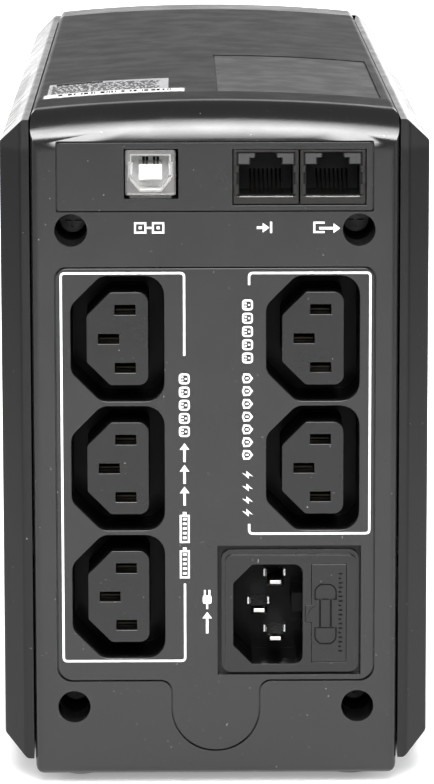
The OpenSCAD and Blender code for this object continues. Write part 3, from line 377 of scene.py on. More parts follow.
def printed(name, color, gloss=0.5):
    """Screen-printed ink, slightly uneven."""
    n = Nodes(name)
    n.surface.inputs["Specular IOR Level"].default_value = gloss
    patch = n.noise(0.5, 3.0, 0.6)
    n.set(base_color=n.mix(n.ramp(patch, 0.3, 0.7), rgba(color, 0.93), rgba(color)))
    n.set(roughness=n.ramp(patch, 0.3, 0.7, 0.4, 0.53))
    n.set(normal=n.bump(patch, 0.004))
    return n.material


def film(name, color, mottle, grain, rough=0.35, wave=0.03):
    """Label film with a fine mottle under its gloss."""
    n = Nodes(name)
    speckle = n.noise(grain, 2.0, 0.6)
    n.set(base_color=n.mix(n.ramp(speckle, 0.42, 0.58), rgba(color), rgba(mottle)))
    n.set(roughness=n.ramp(n.noise(8.0), 0.3, 0.7, rough - 0.05, rough + 0.1))
    n.set(normal=n.bump(n.noise(5.0, 2.0), wave))
    return n.material


def insulated(name, color):
    """Vinyl wire insulation with faint extrusion lines."""
    n = Nodes(name)
    n.set(base_color=n.mix(n.noise(5.0), rgba(color, 0.85), rgba(color, 1.1)))
    n.set(roughness=n.ramp(n.noise(2.0), 0.3, 0.7, 0.32, 0.45))
    n.set(normal=n.bump(n.noise(0.4, 2.0), 0.01))
    return n.material


MATERIALS = {
    "case_plastic": moulded("case_plastic", (0.01, 0.01, 0.0105), rough=0.19),
    # panel_plastic and socket_plastic get painted shade in the hollows behind the rear face
    # (hollow=SOCKET_Y).
    "panel_plastic": moulded("panel_plastic", (0.01, 0.01, 0.0105), rough=0.19, hollow=SOCKET_Y,
                             crest=("Y", REAR_Y + 9, REAR_Y + 13, 0.06, 0.42)),
    "top_plastic": moulded("top_plastic", (0.01, 0.01, 0.0105), rough=0.36, grain_depth=0.003,
                           wave=0.0005, gloss=0.06),
    "cover_plastic": moulded("cover_plastic", (0.005, 0.005, 0.0053), rough=0.17, grain_depth=0.004,
                             gloss=0.3, wave=0.002, crest=("Z", COVER_TOP_Z - 8, COVER_TOP_Z - 6, 0.5, 0.17)),
    "plate_plastic": moulded("plate_plastic", (0.01, 0.01, 0.0105), rough=0.21),
    "bezel_plastic": moulded("bezel_plastic", (0.008, 0.008, 0.0085), rough=0.2, grain_depth=0.004),
    "socket_plastic": moulded("socket_plastic", (0.004, 0.004, 0.0042), rough=0.22, grain_depth=0.004,
                              gloss=0.45, wear=1.0, hollow=SOCKET_Y),
    # A darker, less glossy copy of the black socket plastic for the raised lines on the fuse drawer; the
    # darker colour is painted shade, so the ridges read as dark lines.
    "relief_shade_plastic": moulded("relief_shade_plastic", (0.003, 0.003, 0.003), rough=0.35, grain_depth=0.002,
                              wear=0.0, specks=0.0, gloss=0.12),
    "button_plastic": glossy("button_plastic", (0.02, 0.02, 0.022), rough=0.2),
    "window_plastic": glossy("window_plastic", (0.008, 0.009, 0.01), rough=0.08, orange_peel=0.002, coat=0.6),
    "light_plastic": clear("light_plastic", (0.55, 0.85, 0.65), rough=0.3, through=0.6),
    "display": glossy("display", (0.10, 0.14, 0.15), rough=0.25),
    "insulator_white": moulded("insulator_white", (0.75, 0.75, 0.74), rough=0.35, grain_depth=0.002, wear=0.0,
                               specks=0.0),
    "insert_grey": moulded("insert_grey", (0.004, 0.004, 0.0042), rough=0.45, grain_depth=0.004, specks=0.1,
                           gloss=0.12),
    "window_grey": moulded("window_grey", (0.022, 0.022, 0.0225), rough=0.4, grain_depth=0.004,
                           wear=0.1, specks=0.1),
    "shield_metal": metal("shield_metal", (0.04, 0.039, 0.038), rough=0.36, tarnish=0.5),
    "socket_shell": metal("socket_shell", (0.7, 0.69, 0.68), rough=0.3, tarnish=0.15,
                          dark_front_y=box_mm("usb_shell")[0].y + 0.1),
    "bright_metal": metal("bright_metal", (0.5, 0.49, 0.48), rough=0.2, tarnish=0.25),
    "brass": metal("brass", (0.4, 0.27, 0.1), rough=0.3, tarnish=0.6),
    "contact_bronze": metal("contact_bronze", (0.045, 0.04, 0.032), rough=0.35, tarnish=0.7),
    "fuse_glass": clear("fuse_glass", (0.9, 0.96, 0.97)),
    "circuit_board": board("circuit_board", (0.012, 0.075, 0.035)),
    "chip_plastic": moulded("chip_plastic", (0.018, 0.018, 0.02), rough=0.5, specks=0.15),
    "capacitor_sleeve": glossy("capacitor_sleeve", (0.03, 0.05, 0.1), rough=0.3),
    "aluminium": metal("aluminium", (0.72, 0.73, 0.75), rough=0.34, brushed=(1.0, 0.05, 1.0)),
    "core_steel": laminated("core_steel", (0.3, 0.29, 0.28), "Y"),
    "winding": wound("winding", (0.62, 0.27, 0.09)),
    "zinc_steel": metal("zinc_steel", (0.62, 0.61, 0.58), rough=0.36, tarnish=0.4),
    "black_steel": metal("black_steel", (0.06, 0.06, 0.06), rough=0.35),
    "battery_plastic": moulded("battery_plastic", (0.05, 0.054, 0.058), rough=0.5),
    "boot_red": glossy("boot_red", (0.4, 0.03, 0.02), rough=0.42),
    "wire_red": insulated("wire_red", (0.5, 0.03, 0.02)),
    "wire_black": insulated("wire_black", (0.02, 0.02, 0.02)),
    "wire_brown": insulated("wire_brown", (0.17, 0.07, 0.03)),
    "wire_blue": insulated("wire_blue", (0.03, 0.13, 0.42)),
    "wire_green": insulated("wire_green", (0.07, 0.3, 0.06)),
    "wire_yellow": insulated("wire_yellow", (0.62, 0.5, 0.06)),
    "wire_grey": insulated("wire_grey", (0.3, 0.3, 0.31)),
    "foot_rubber": rubber("foot_rubber", (0.02, 0.02, 0.02)),
    "label_silver": film("label_silver", (0.55, 0.55, 0.56), (0.24, 0.24, 0.25), 0.7),
    "label_grey": film("label_grey", (0.048, 0.048, 0.049), (0.038, 0.038, 0.039), 0.4,
                       rough=0.42, wave=0.006),
    "ink_white": printed("ink_white", (0.8, 0.8, 0.79)),
    "paper_white": printed("paper_white", (0.85, 0.85, 0.84)),
    "ink_black": printed("ink_black", (0.012, 0.012, 0.013), gloss=0.0),
    "slot_black": moulded("slot_black", (0.004, 0.004, 0.004), rough=0.7, wear=0.0, specks=0.0),
}

# ---- CAD pieces: materials and small edge radii ----

NODE_MATERIAL = {p["node"]: p["material_slot"] for p in frame["record"]["subparts"]}
NODE_MATERIAL["upper_case"] = "top_plastic"
NODE_MATERIAL["rear_panel"] = "panel_plastic"
NODE_MATERIAL["usb_shell"] = "socket_shell"
for hidden_contacts in ("outlet_contacts", "jack_contacts", "usb_contacts"):
    NODE_MATERIAL[hidden_contacts] = "contact_bronze"

# Bevel widths in millimetres, for the pieces whose edges can be seen
EDGE_RADIUS = {
    "rear_panel": 0.22, "upper_case": 0.22, "side_cover_left": 0.3, "side_cover_right": 0.3,
    "front_bezel": 0.25, "base_tray": 0.25, "outlet_plate": 0.16, "io_plate": 0.14,
    "battery_outlets": 0.16, "surge_outlets": 0.16, "inlet_body": 0.28, "fuse_drawer": 0.12,
    "usb_shell": 0.06, "usb_insulator": 0.1, "line_jack_in": 0.1, "line_jack_out": 0.1,
    "display_window": 0.2, "power_button": 0.25, "status_light": 0.15,
    "battery_door": 0.2, "feet": 0.35, "battery_case": 0.5, "battery_lid": 0.5, "relays": 0.4,
    "inlet_pins": 0.1, "heat_sinks": 0.15,
}
MIN_BEVEL_ANGLE = math.radians(32)


def crease_edges(obj, angle):
    """Marks the edges of a CAD mesh that turn by more than angle, so that they stay crisp."""
    mesh = obj.data
    joined = bmesh.new()
    joined.from_mesh(mesh)
    bmesh.ops.remove_doubles(joined, verts=joined.verts, dist=1e-6)
    sharp = set()
    for edge in joined.edges:
        if len(edge.link_faces) != 2 or edge.calc_face_angle(0) > angle:
            ends = sorted(tuple(round(c, 6) for c in v.co) for v in edge.verts)
            sharp.add(tuple(ends))
    joined.free()
    for edge in mesh.edges:
        ends = sorted(tuple(round(c, 6) for c in mesh.vertices[i].co) for i in edge.vertices)
        edge.use_edge_sharp = tuple(ends) in sharp


def finish_cad(name, obj):
    """Gives a CAD node its material and, on the pieces that show, rounded edges."""
    material = MATERIALS[NODE_MATERIAL[name]]
    obj.data.materials.clear()
    obj.data.materials.append(material)
    for polygon in obj.data.polygons:
        polygon.material_index = 0
        polygon.use_smooth = True
    if "custom_normal" in obj.data.attributes:
        obj.data.attributes.remove(obj.data.attributes["custom_normal"])
    crease_edges(obj, MIN_BEVEL_ANGLE)
    weld = obj.modifiers.new("weld", "WELD")
    weld.merge_threshold = 1e-6
    if name in EDGE_RADIUS:
        flat = obj.modifiers.new("flat", "DECIMATE")
        flat.decimate_type = "DISSOLVE"
        flat.angle_limit = math.radians(0.4)
        flat.delimit = {"SHARP"}
        bevel = obj.modifiers.new("bevel", "BEVEL")
        bevel.width = EDGE_RADIUS[name] * MM
        bevel.segments = 2
        bevel.limit_method = "ANGLE"
        bevel.angle_limit = MIN_BEVEL_ANGLE
        bevel.use_clamp_overlap = True
        normals = obj.modifiers.new("normals", "WEIGHTED_NORMAL")
        normals.weight = 80


for node_name, node_object in frame["nodes"].items():
    finish_cad(node_name, node_object)

# ---- Detail pieces: helpers ----


class Shape:
    """Closed solids gathered into one mesh, in millimetres."""

    def __init__(self):
        self.verts = []
        self.faces = []

    def loft(self, rings, closed=False):
        """Joins loops of points in order, and closes the two ends or joins last to first."""
        first = len(self.verts)
        count = len(rings[0])
        for ring in rings:
            self.verts.extend(ring)
        steps = len(rings) if closed else len(rings) - 1
        for i in range(steps):
            a = first + i * count
            b = first + (i + 1) % len(rings) * count
            for k in range(count):
                m = (k + 1) % count
                self.faces.append((a + k, a + m, b + m, b + k))
        if not closed:
            self.faces.append(tuple(range(first, first + count)))
            last = first + (len(rings) - 1) * count
            self.faces.append(tuple(range(last + count - 1, last - 1, -1)))

    def stroke(self, place, path, width, low, high, closed=False):
        """A flat line of one width along a path, from depth low to depth high."""
        rings = []
        for left, right in line_sides(path, width / 2, closed):
            rings.append([place(*left, low), place(*left, high), place(*right, high), place(*right, low)])
        self.loft(rings, closed)

    def plate(self, place, outline, low, high, bevel=0.0):
        """A flat outline with thickness, its upper edge cut back by bevel."""
        rings = [[place(u, v, low) for u, v in outline], [place(u, v, high - bevel) for u, v in outline]]
        if bevel:
            rings.append([place(u, v, high) for u, v in shrunk(outline, bevel)])
        self.loft(rings)

    def patch(self, place, u0, u1, v0, v1, low, high, steps=14):
        """A rectangle that follows a surface curved along u."""
        rings = []
        for i in range(steps + 1):
            u = u0 + (u1 - u0) * i / steps
            rings.append([place(u, v0, low), place(u, v0, high), place(u, v1, high), place(u, v1, low)])
        self.loft(rings)

    def tube(self, path, radius, sides=8):
        """A round wire along points in space."""
        rings = []
        points = [Vector(p) for p in path]
        across = None
        for i, point in enumerate(points):
            ahead = (points[min(i + 1, len(points) - 1)] - points[max(i - 1, 0)]).normalized()
            if across is None:
                across = ahead.orthogonal().normalized()
            across = (across - ahead * across.dot(ahead)).normalized()
            other = ahead.cross(across)
            rings.append([tuple(point + radius * (math.cos(t) * across + math.sin(t) * other))
                          for t in (math.tau * k / sides for k in range(sides))])
        self.loft(rings)

    def piece(self, name, material, body="case", smooth=False):
        """Makes the mesh an object that rides on a body."""
        mesh = bpy.data.meshes.new(name)
        mesh.from_pydata([[c * MM for c in v] for v in self.verts], [], self.faces)
        tidy = bmesh.new()
        tidy.from_mesh(mesh)
        bmesh.ops.recalc_face_normals(tidy, faces=tidy.faces)
        tidy.to_mesh(mesh)
        tidy.free()
        mesh.materials.append(MATERIALS[material])
        for polygon in mesh.polygons:
            polygon.use_smooth = smooth
        obj = bpy.data.objects.new(name, mesh)
        bpy.context.scene.collection.objects.link(obj)
        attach(obj, body)
        return obj


def line_sides(path, half, closed):
    """Points on both sides of each point of a flat path, mitred at its corners."""
    count = len(path)
    sides = []
    for i, (u, v) in enumerate(path):
        before = path[i - 1] if closed or i else None
        after = path[(i + 1) % count] if closed or i < count - 1 else None
        turns = []
        for a, b in ((before, (u, v)), ((u, v), after)):
            if a is not None and b is not None:
                length = math.hypot(b[0] - a[0], b[1] - a[1])
                turns.append(((a[1] - b[1]) / length, (b[0] - a[0]) / length))
        nu = sum(t[0] for t in turns) / len(turns)
        nv = sum(t[1] for t in turns) / len(turns)
        scale = half / max(nu * nu + nv * nv, 0.25)
        sides.append(((u + nu * scale, v + nv * scale), (u - nu * scale, v - nv * scale)))
    return sides


def shrunk(outline, inset):
    """An outline moved inwards by inset."""
    area = sum(a[0] * b[1] - b[0] * a[1] for a, b in zip(outline, outline[1:] + outline[:1]))
    side = 0 if area > 0 else 1
    return [pair[side] for pair in line_sides(outline, inset, True)]


def rounded_path(points, radius, steps=5, closed=False):
    """A path with its corners rounded."""
    result = []
    count = len(points)
    for i, point in enumerate(points):
        if not closed and i in (0, count - 1):
            result.append(point)
            continue
        here = Vector(point)
        start = here + (Vector(points[i - 1]) - here).normalized() * radius
        end = here + (Vector(points[(i + 1) % count]) - here).normalized() * radius
        for k in range(steps + 1):
            t = k / steps
            mid = (1 - t) ** 2 * start + 2 * t * (1 - t) * here + t**2 * end
            result.append((mid.x, mid.y))
    return result


def rect(u0, v0, u1, v1):
    return [(u0, v0), (u1, v0), (u1, v1), (u0, v1)]


def arc(radius, steps, start, sweep):
    """Points on an arc round (0, 0), with both ends."""
    angles = [start + sweep * i / steps for i in range(steps + 1)]
    return [(radius * math.cos(angle), radius * math.sin(angle)) for angle in angles]


def on_rear(face_y):
    """Places flat points on a face that looks towards -Y: u is X, v is Z."""
    return lambda u, v, depth: (u, face_y - depth, v)


def upright(x, z):
    """Places a row of marks on the rear face that reads upwards from (x, z)."""
    return lambda u, v, depth: (x - v, REAR_Y - depth, z + u)


def level(x, z):
    """Places a row of marks on the rear face that reads across from (x, z)."""
    return lambda u, v, depth: (x + u, REAR_Y - depth, z + v)


def on_crown(lift):
    """Places points on the crowned top: u is X, v is Y."""
    return lambda u, v, depth: (u, v, crown_z(u) + lift + depth)


# ---- Printed frames and pictograms ----

INK_SINK = -0.02
FRAME_LINE = 0.55
MARK_LINE = 0.46
ARROW_L = 4.6
BATTERY_L = 7.6
CAPTION_Z = 135.2


def ink(shape, place, path, width=MARK_LINE, closed=False):
    shape.stroke(place, path, width, INK_SINK, INK_T, closed)


def ink_fill(shape, place, outline):
    shape.plate(place, outline, INK_SINK, INK_T)


def mark_battery(shape, place, u):
    """A battery with five bars."""
    end = u + BATTERY_L - 0.7
    ink(shape, place, rect(u + 0.23, 0.33, end - 0.23, 2.27), closed=True)
    ink_fill(shape, place, rect(end + 0.02, 0.85, u + BATTERY_L, 1.75))
    for i in range(5):
        start = u + 0.95 + 1.15 * i
        ink_fill(shape, place, rect(start, 0.85, start + 0.6, 1.75))


def mark_arrow(shape, place, u, length=ARROW_L, v=0.0):
    head = u + length - 1.6
    ink(shape, place, [(u, v + 1.3), (head + 0.1, v + 1.3)], 0.6)
    ink_fill(shape, place, [(head, v + 0.15), (u + length, v + 1.3), (head, v + 2.45)])


def mark_socket(shape, place, u):
    """A socket with three slots."""
    ink(shape, place, rounded_path(rect(u + 0.23, 0.23, u + 2.4, 2.37), 0.6, 3, True), closed=True)
    for a, b in ((0.72, 1.5), (1.48, 1.5), (1.1, 0.7)):
        ink_fill(shape, place, rect(u + a, b, u + a + 0.42, b + 0.5))


def mark_bolt(shape, place, u):
    """A lightning bolt."""
    ink_fill(shape, place, [(u + 0.2, 1.0), (u + 1.55, 2.6), (u + 1.25, 1.55), (u + 2.1, 1.6),
                            (u + 0.7, 0.0), (u + 1.05, 1.05)])


def mark_shield(shape, place, u):
    """A shield with a bar."""
    ink(shape, place, [(u + 1.2, 0.25), (u + 2.1, 0.95), (u + 2.15, 2.1), (u + 1.2, 2.4),
                       (u + 0.25, 2.1), (u + 0.3, 0.95)], closed=True)
    ink_fill(shape, place, rect(u + 0.97, 1.05, u + 1.43, 1.75))


def mark_plug(shape, place, u):
    """A mains plug with two pins."""
    ink(shape, place, [(u, 1.3), (u + 1.5, 1.3)])
    ink_fill(shape, place, rounded_path(rect(u + 1.3, 0.25, u + 3.4, 2.35), 0.5, 3, True))
    for v in (0.75, 1.85):
        ink(shape, place, [(u + 3.35, v), (u + 4.7, v)])


def mark_data(shape, place):
    """Two boxes joined by a line."""
    ink(shape, place, [(-1.0, 1.38), (1.0, 1.38)])
    for middle in (-2.125, 2.125):
        ink(shape, place, rect(middle - 1.225, 0.25, middle + 1.225, 2.5), closed=True)
        ink_fill(shape, place, rect(middle - 0.375, 1.05, middle + 0.375, 1.7))


def mark_line_in(shape, place):
    """An arrow that ends at a wall."""
    mark_arrow(shape, place, -1.9, 3.0, 0.05)
    ink(shape, place, [(1.5, 0.05), (1.5, 2.75)], 0.5)


def mark_line_out(shape, place):
    """An arrow that leaves an open box."""
    ink(shape, place, [(-0.9, 2.5), (-3.35, 2.5), (-3.35, 0.25), (-0.9, 0.25)])
    mark_arrow(shape, place, -2.2, 5.0, -0.12)


def mark_row(shape, place, mark, start, pitch, count):
    """Repeats a mark along a row."""
    for i in range(count):
        mark(shape, place, start + pitch * i)


def open_frame(shape, closed_x, open_x, low_z, high_z, gap_low, gap_high):
    """A printed frame with rounded corners whose side open_x is missing from gap_low to gap_high."""
    half = FRAME_LINE / 2
    inwards = half if closed_x < open_x else -half
    a, b = closed_x + inwards, open_x - inwards
    low, high = low_z + half, high_z - half
    corners = [(b, gap_high), (b, high), (a, high), (a, low), (b, low), (b, gap_low)]
    ink(shape, on_rear(REAR_Y), rounded_path(corners, 0.95), FRAME_LINE)


frames = Shape()
open_frame(frames, -36.95, -7.1, 30.85, 126.0, 50.2, 105.8)
open_frame(frames, 37.2, 7.8, 62.15, 125.95, 64.8, 122.8)
frames.piece("print_frames", "ink_white")

captions = Shape()
battery_row = upright(-6.1, 51.5)
mark_row(captions, battery_row, mark_battery, 0.0, 8.7, 2)
mark_row(captions, battery_row, mark_arrow, 17.9, 5.3, 3)
mark_row(captions, battery_row, mark_socket, 34.6, 3.2, 5)
surge_row = upright(9.0, 66.3)
mark_row(captions, surge_row, mark_bolt, 0.1, 3.1, 4)
mark_row(captions, surge_row, mark_shield, 14.2, 3.1, 7)
mark_row(captions, surge_row, mark_socket, 37.6, 3.2, 5)
inlet_row = upright(-0.75, 37.9)
mark_arrow(captions, inlet_row, 0.0, 5.3)
mark_plug(captions, inlet_row, 6.0)
for x, mark in ((-15.6, mark_data), (11.8, mark_line_in), (26.9, mark_line_out)):
    mark(captions, level(x, CAPTION_Z))
captions.piece("print_pictograms", "ink_white")

# ---- Label on the top: a white strip with ticks, rows of speckle and a dark bar ----

LABEL_T = 0.12
LABEL_Y = CASE_REAR_Y + 3.9
STRIP_LEFT, STRIP_RIGHT = -41.2, -7.3
TICKS_LEFT, TICKS_RIGHT = -37.8, -10.6
SPECKLE_LEFT, SPECKLE_RIGHT = -39.9, -13.2
SPECKLE_ROWS = 10
ROW_PITCH = 1.9
ROW_H = 1.15
crown = on_crown(LABEL_T)
strip = Shape()
strip.patch(crown, STRIP_LEFT, STRIP_RIGHT, LABEL_Y + 1.1, LABEL_Y + 7.9, INK_SINK, INK_T, 20)
strip.piece("label_strip", "paper_white")

draw = random.Random(11)
print_marks = Shape()
x = TICKS_LEFT
while x < TICKS_RIGHT:
    wide = draw.choice((0.28, 0.45, 0.75, 1.0))
    print_marks.patch(crown, x, x + wide, LABEL_Y + 3.4, LABEL_Y + 6.8, INK_T - 0.01, INK_T + 0.02, 1)
    x += wide + draw.choice((0.3, 0.45, 0.7, 1.3))
for row in range(SPECKLE_ROWS):
    y = LABEL_Y + 9.6 + ROW_PITCH * row
    x = SPECKLE_LEFT + draw.uniform(0, 0.6)
    while x < SPECKLE_RIGHT - 0.6:
        wide = min(draw.choice((0.5, 0.8, 1.3, 2.1)), SPECKLE_RIGHT - x)
        print_marks.patch(crown, x, x + wide, y, y + ROW_H, -0.01, 0.025, 2)
        x += wide + draw.choice((0.35, 0.5, 0.9))
print_marks.patch(crown, -38.9, -27.4, LABEL_Y + 28.6, LABEL_Y + 31.4, INK_SINK, INK_T, 8)
print_marks.piece("label_print", "ink_black")

# ---- Fuse drawer and inlet details ----

PIN_LOW, PIN_HIGH = box_mm("inlet_pins")
INLET_Z = (PIN_LOW.z + PIN_HIGH.z) / 2
FUSE_X = 26.475
FUSE_CAP_W = 2.525
RIBS = 18
RIB_LEFT = 29.6
RIB_LOW_Z = 33.2
RIB_PITCH = 1.12
SCAR_H = 0.05
SCAR_LINE = 0.1
drawer_face = on_rear(box_mm("fuse_drawer")[0].y)


def raise_line(shape, points, width, height=0.16):
    """A ridge on the drawer; the points count from the middle of the fuse outline."""
    shape.stroke(drawer_face, [(FUSE_X + u, INLET_Z + v) for u, v in points], width, INK_SINK, height)


raised = Shape()
for up, cap_end in ((1, 3.6), (-1, -3.2)):
    cap = [(-FUSE_CAP_W, cap_end), (-FUSE_CAP_W, up * 6.1), (-1.375, up * 7.3),
           (1.425, up * 7.3), (FUSE_CAP_W, up * 6.1), (FUSE_CAP_W, cap_end)]
    raise_line(raised, rounded_path(cap, 0.5, 3), 0.34)
for u in (-1.325, 1.275):
    raise_line(raised, [(u, -3.1), (u, 3.7)], 0.5)
for u0, u1, v in ((-2.675, -1.725, 3.7), (-0.875, 0.825, 3.7), (1.675, 2.725, 3.7), (-2.175, 2.125, -3.35)):
    raise_line(raised, [(u0, v), (u1, v)], 0.3)
for i in range(RIBS):
    low = RIB_LOW_Z + RIB_PITCH * i
    right = RIB_LEFT + (0.65 if i % 3 == 1 else 0.95)
    raised.plate(drawer_face, rect(RIB_LEFT, low, right, low + 0.42), INK_SINK, 0.13, 0.05)
scar_line = [(-4.725, -1.6), (-4.175, 0.1), (-3.475, 1.4), (-2.475, 2.0)]
raise_line(raised, scar_line, SCAR_LINE, SCAR_H)
# The drawer's raised lines use the darker plastic, which is painted shade along the ridges.
raised.piece("drawer_relief", "relief_shade_plastic", "drawer")

inlet_face = on_rear(box_mm("inlet_body")[0].y)
scar = Shape()
scar_line = [(22.75, 50.4), (22.4, 48.2), (21.9, 46.6), (21.25, 45.2)]
scar.stroke(inlet_face, scar_line, SCAR_LINE, INK_SINK, SCAR_H)
scar.piece("inlet_mark", "socket_plastic")

PIN_PITCH = 14.0
PIN_HALF_W = 2.0
LINE_PIN_X = PIN_HIGH.x - PIN_HALF_W
EARTH_PIN_X = PIN_LOW.x + PIN_HALF_W
shoulder_face = on_rear(-123.0)
shoulders = Shape()
for pin_x, pin_z in ((LINE_PIN_X, INLET_Z + PIN_PITCH / 2), (LINE_PIN_X, INLET_Z - PIN_PITCH / 2),
                     (EARTH_PIN_X, INLET_Z)):
    for side in (-1, 1):
        middle = pin_x + side * 2.45
        corner = rect(middle - 0.3, pin_z - 0.95, middle + 0.3, pin_z + 0.95)
        shoulders.plate(shoulder_face, corner, -0.2, 1.8, 0.12)
shoulders.piece("pin_shoulders", "bright_metal")

# ---- Data socket and line jack details ----

USB_LOW, USB_HIGH = box_mm("usb_shell")
USB_X = (USB_LOW.x + USB_HIGH.x) / 2
USB_Z = (USB_LOW.z + USB_HIGH.z) / 2
D_HALF_W, D_HALF_H = 4.65, 4.3
right_side = [(D_HALF_W, D_HALF_H), (D_HALF_W, D_HALF_H - 1.9), (D_HALF_W + 0.4, D_HALF_H - 1.9),
              (D_HALF_W + 0.4, -0.9), (D_HALF_W, -1.4), (D_HALF_W, -D_HALF_H + 2.6),
              (D_HALF_W - 2.2, -D_HALF_H)]
d_outline = right_side + [(-u, v) for u, v in reversed(right_side)]
rim = Shape()
usb_face = on_rear(USB_LOW.y + 0.2)
rim.stroke(usb_face, [(USB_X + u, USB_Z + v) for u, v in d_outline], 0.34, -0.3, 0.14, True)
rim.piece("data_socket_rim", "bright_metal")

clip_face = on_rear(USB_LOW.y + 2.1)
clips = Shape()
for side in (-1, 1):
    u = USB_X + side * 4.55
    clips.plate(clip_face, rect(u - 0.32, USB_Z - 0.9, u + 0.32, USB_Z + 2.3), -1.6, 0.0, 0.1)
clips.piece("data_socket_clips", "aluminium")

# Black plates in the four contact slots of the data socket: painted shade where the slots run deep.
slot_face = on_rear(USB_LOW.y + 9.7)
slots = Shape()
for u in (-2.02, -1.17, 0.53, 1.38):
    slots.plate(slot_face, rect(USB_X + u, USB_Z + 1.8, USB_X + u + 0.64, USB_Z + 2.75), -0.3, 0.06)
slots.piece("data_socket_slot_shade", "slot_black")

JACK_X = [sum(c.x for c in box_mm(n)) / 2 for n in ("line_jack_in", "line_jack_out")]
JACK_LOW, JACK_HIGH = box_mm("line_jack_in")
WINDOW_TOP_Z = JACK_HIGH.z - 0.8
jack_face = on_rear(JACK_LOW.y)
insert_face = on_rear(box_mm("jack_inserts")[0].y)
windows = Shape()
tabs = Shape()
lips = Shape()
for middle in JACK_X:
    for side in (-1, 1):
        corner = [(6.55, 0.0), (2.7, 0.0), (2.7, -1.05), (3.95, -1.05), (3.95, -2.55), (6.55, -2.55)]
        corner = [(middle + side * u, WINDOW_TOP_Z + v) for u, v in corner]
        windows.plate(insert_face, corner, -0.05, 0.14, 0.06)
        for low, high in ((2.3, 4.8), (7.5, 9.2)):
            u0, u1 = sorted((middle + side * 6.45, middle + side * 7.45))
            tabs.plate(jack_face, rect(u0, JACK_LOW.z + low, u1, JACK_LOW.z + high), -0.3, 0.1, 0.08)
    lip = rect(middle - 6.4, JACK_LOW.z + 1.65, middle + 6.4, JACK_LOW.z + 2.0)
    lips.plate(jack_face, lip, -1.5, 0.12, 0.08)
windows.piece("jack_windows", "window_grey")
tabs.piece("jack_tabs", "shield_metal")
lips.piece("jack_lips", "bright_metal")

# ---- Front button, battery door and winding details ----

SPRING_LOW, SPRING_HIGH = box_mm("button_spring")
SPRING_X = (SPRING_LOW.x + SPRING_HIGH.x) / 2
SPRING_Z = (SPRING_LOW.z + SPRING_HIGH.z) / 2
COIL_R = 4.85
COIL_WIRE_R = 0.32
COIL_TURNS = 6
COIL_STEPS = 20
FLAT_TURNS = 0.75


def coil_points():
    """The middle line of a compression spring along Y, its first and last turns lying flat."""
    points = []
    low_y, high_y = SPRING_LOW.y + COIL_WIRE_R, SPRING_HIGH.y - COIL_WIRE_R
    for i in range(COIL_TURNS * COIL_STEPS + 1):
        turn = i / COIL_STEPS
        eased = min(max((turn - FLAT_TURNS) / (COIL_TURNS - 2 * FLAT_TURNS), 0.0), 1.0)
        angle = math.tau * turn
        points.append((SPRING_X + COIL_R * math.cos(angle), low_y + (high_y - low_y) * eased,
                       SPRING_Z + COIL_R * math.sin(angle)))
    return points


coil = Shape()
coil.tube(coil_points(), COIL_WIRE_R)
spring = coil.piece("button_coil", "bright_metal", smooth=True)
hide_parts("button_spring")

BUTTON_LOW, BUTTON_HIGH = box_mm("power_button")
BUTTON_Z = (BUTTON_LOW.z + BUTTON_HIGH.z) / 2
DISH_R = 25.0
DISH_Y = FRONT_Y + 24.3
SYMBOL_LINE = 0.42


def on_dish(u, v, depth):
    """Places points on the hollow face of the power button."""
    return (-u, DISH_Y - math.sqrt(DISH_R**2 - u * u - v * v) + depth, BUTTON_Z + v)


symbol = Shape()
ring = arc(2.1, 28, math.radians(125), math.radians(290))
symbol.stroke(on_dish, ring, SYMBOL_LINE, INK_SINK, INK_T)
symbol.stroke(on_dish, [(0, 0.6), (0, 1.4), (0, 2.5)], SYMBOL_LINE, INK_SINK, INK_T)
symbol.piece("button_symbol", "ink_white", "button")

DOOR_BOTTOM_Z = box_mm("battery_door")[0].z


def under_door(u, v, depth):
    """Places points on the underside of the battery door."""
    return (u, v, DOOR_BOTTOM_Z - depth)


arrow = Shape()
arrow.stroke(under_door, [(0, 30), (0, 56)], 5.0, INK_SINK, 0.3)
arrow.plate(under_door, [(-8, 55.5), (8, 55.5), (0, 68)], INK_SINK, 0.3, 0.1)
arrow.stroke(under_door, rounded_path(rect(-31, -52, 31, 100), 4, 5, True), 1.2, INK_SINK, 0.2, True)
arrow.piece("door_relief", "case_plastic", "door")

WIND_LOW, WIND_HIGH = box_mm("transformer_winding")
WIND_Y = (WIND_LOW.y + WIND_HIGH.y) / 2
WIND_HALF_X, WIND_HALF_Y = 24.55, 29.95
WIRE_R = 0.42
WIRE_PITCH = 0.9
turns = Shape()
loop = rounded_path(rect(-WIND_HALF_X, WIND_Y - WIND_HALF_Y, WIND_HALF_X, WIND_Y + WIND_HALF_Y), 7, 6, True)
z = WIND_LOW.z + 2.2
while z < WIND_HIGH.z - 2.0:
    rings = []
    for outer, inner in line_sides(loop, WIRE_R, True):
        mid = ((outer[0] + inner[0]) / 2, (outer[1] + inner[1]) / 2)
        rings.append([(*outer, z), (*mid, z + WIRE_R), (*inner, z), (*mid, z - WIRE_R)])
    turns.loft(rings, True)
    z += WIRE_PITCH
turns.piece("winding_turns", "winding", smooth=True)

# ---- Stage and light ----

FLOOR_GLOW = 1.8
FLOOR_BASE_GLOW = 0.3
BACKDROP = 0.9
BACKDROP_SIDE = 2.3
SURROUNDINGS = 0.1
SOFTBOX_POWER = 14


def area_light(name, place, target, size, power, spread=180):
    """A rectangular soft light aimed at target, with its light kept within spread degrees."""
    data = bpy.data.lights.new(name, "AREA")
    data.shape = "RECTANGLE"
    data.size, data.size_y = size
    data.energy = power
    data.spread = math.radians(spread)
    light = bpy.data.objects.new(name, data)
    bpy.context.scene.collection.objects.link(light)
    light.location = place
    light.rotation_euler = (Vector(target) - Vector(place)).to_track_quat("-Z", "Y").to_euler()
    return light


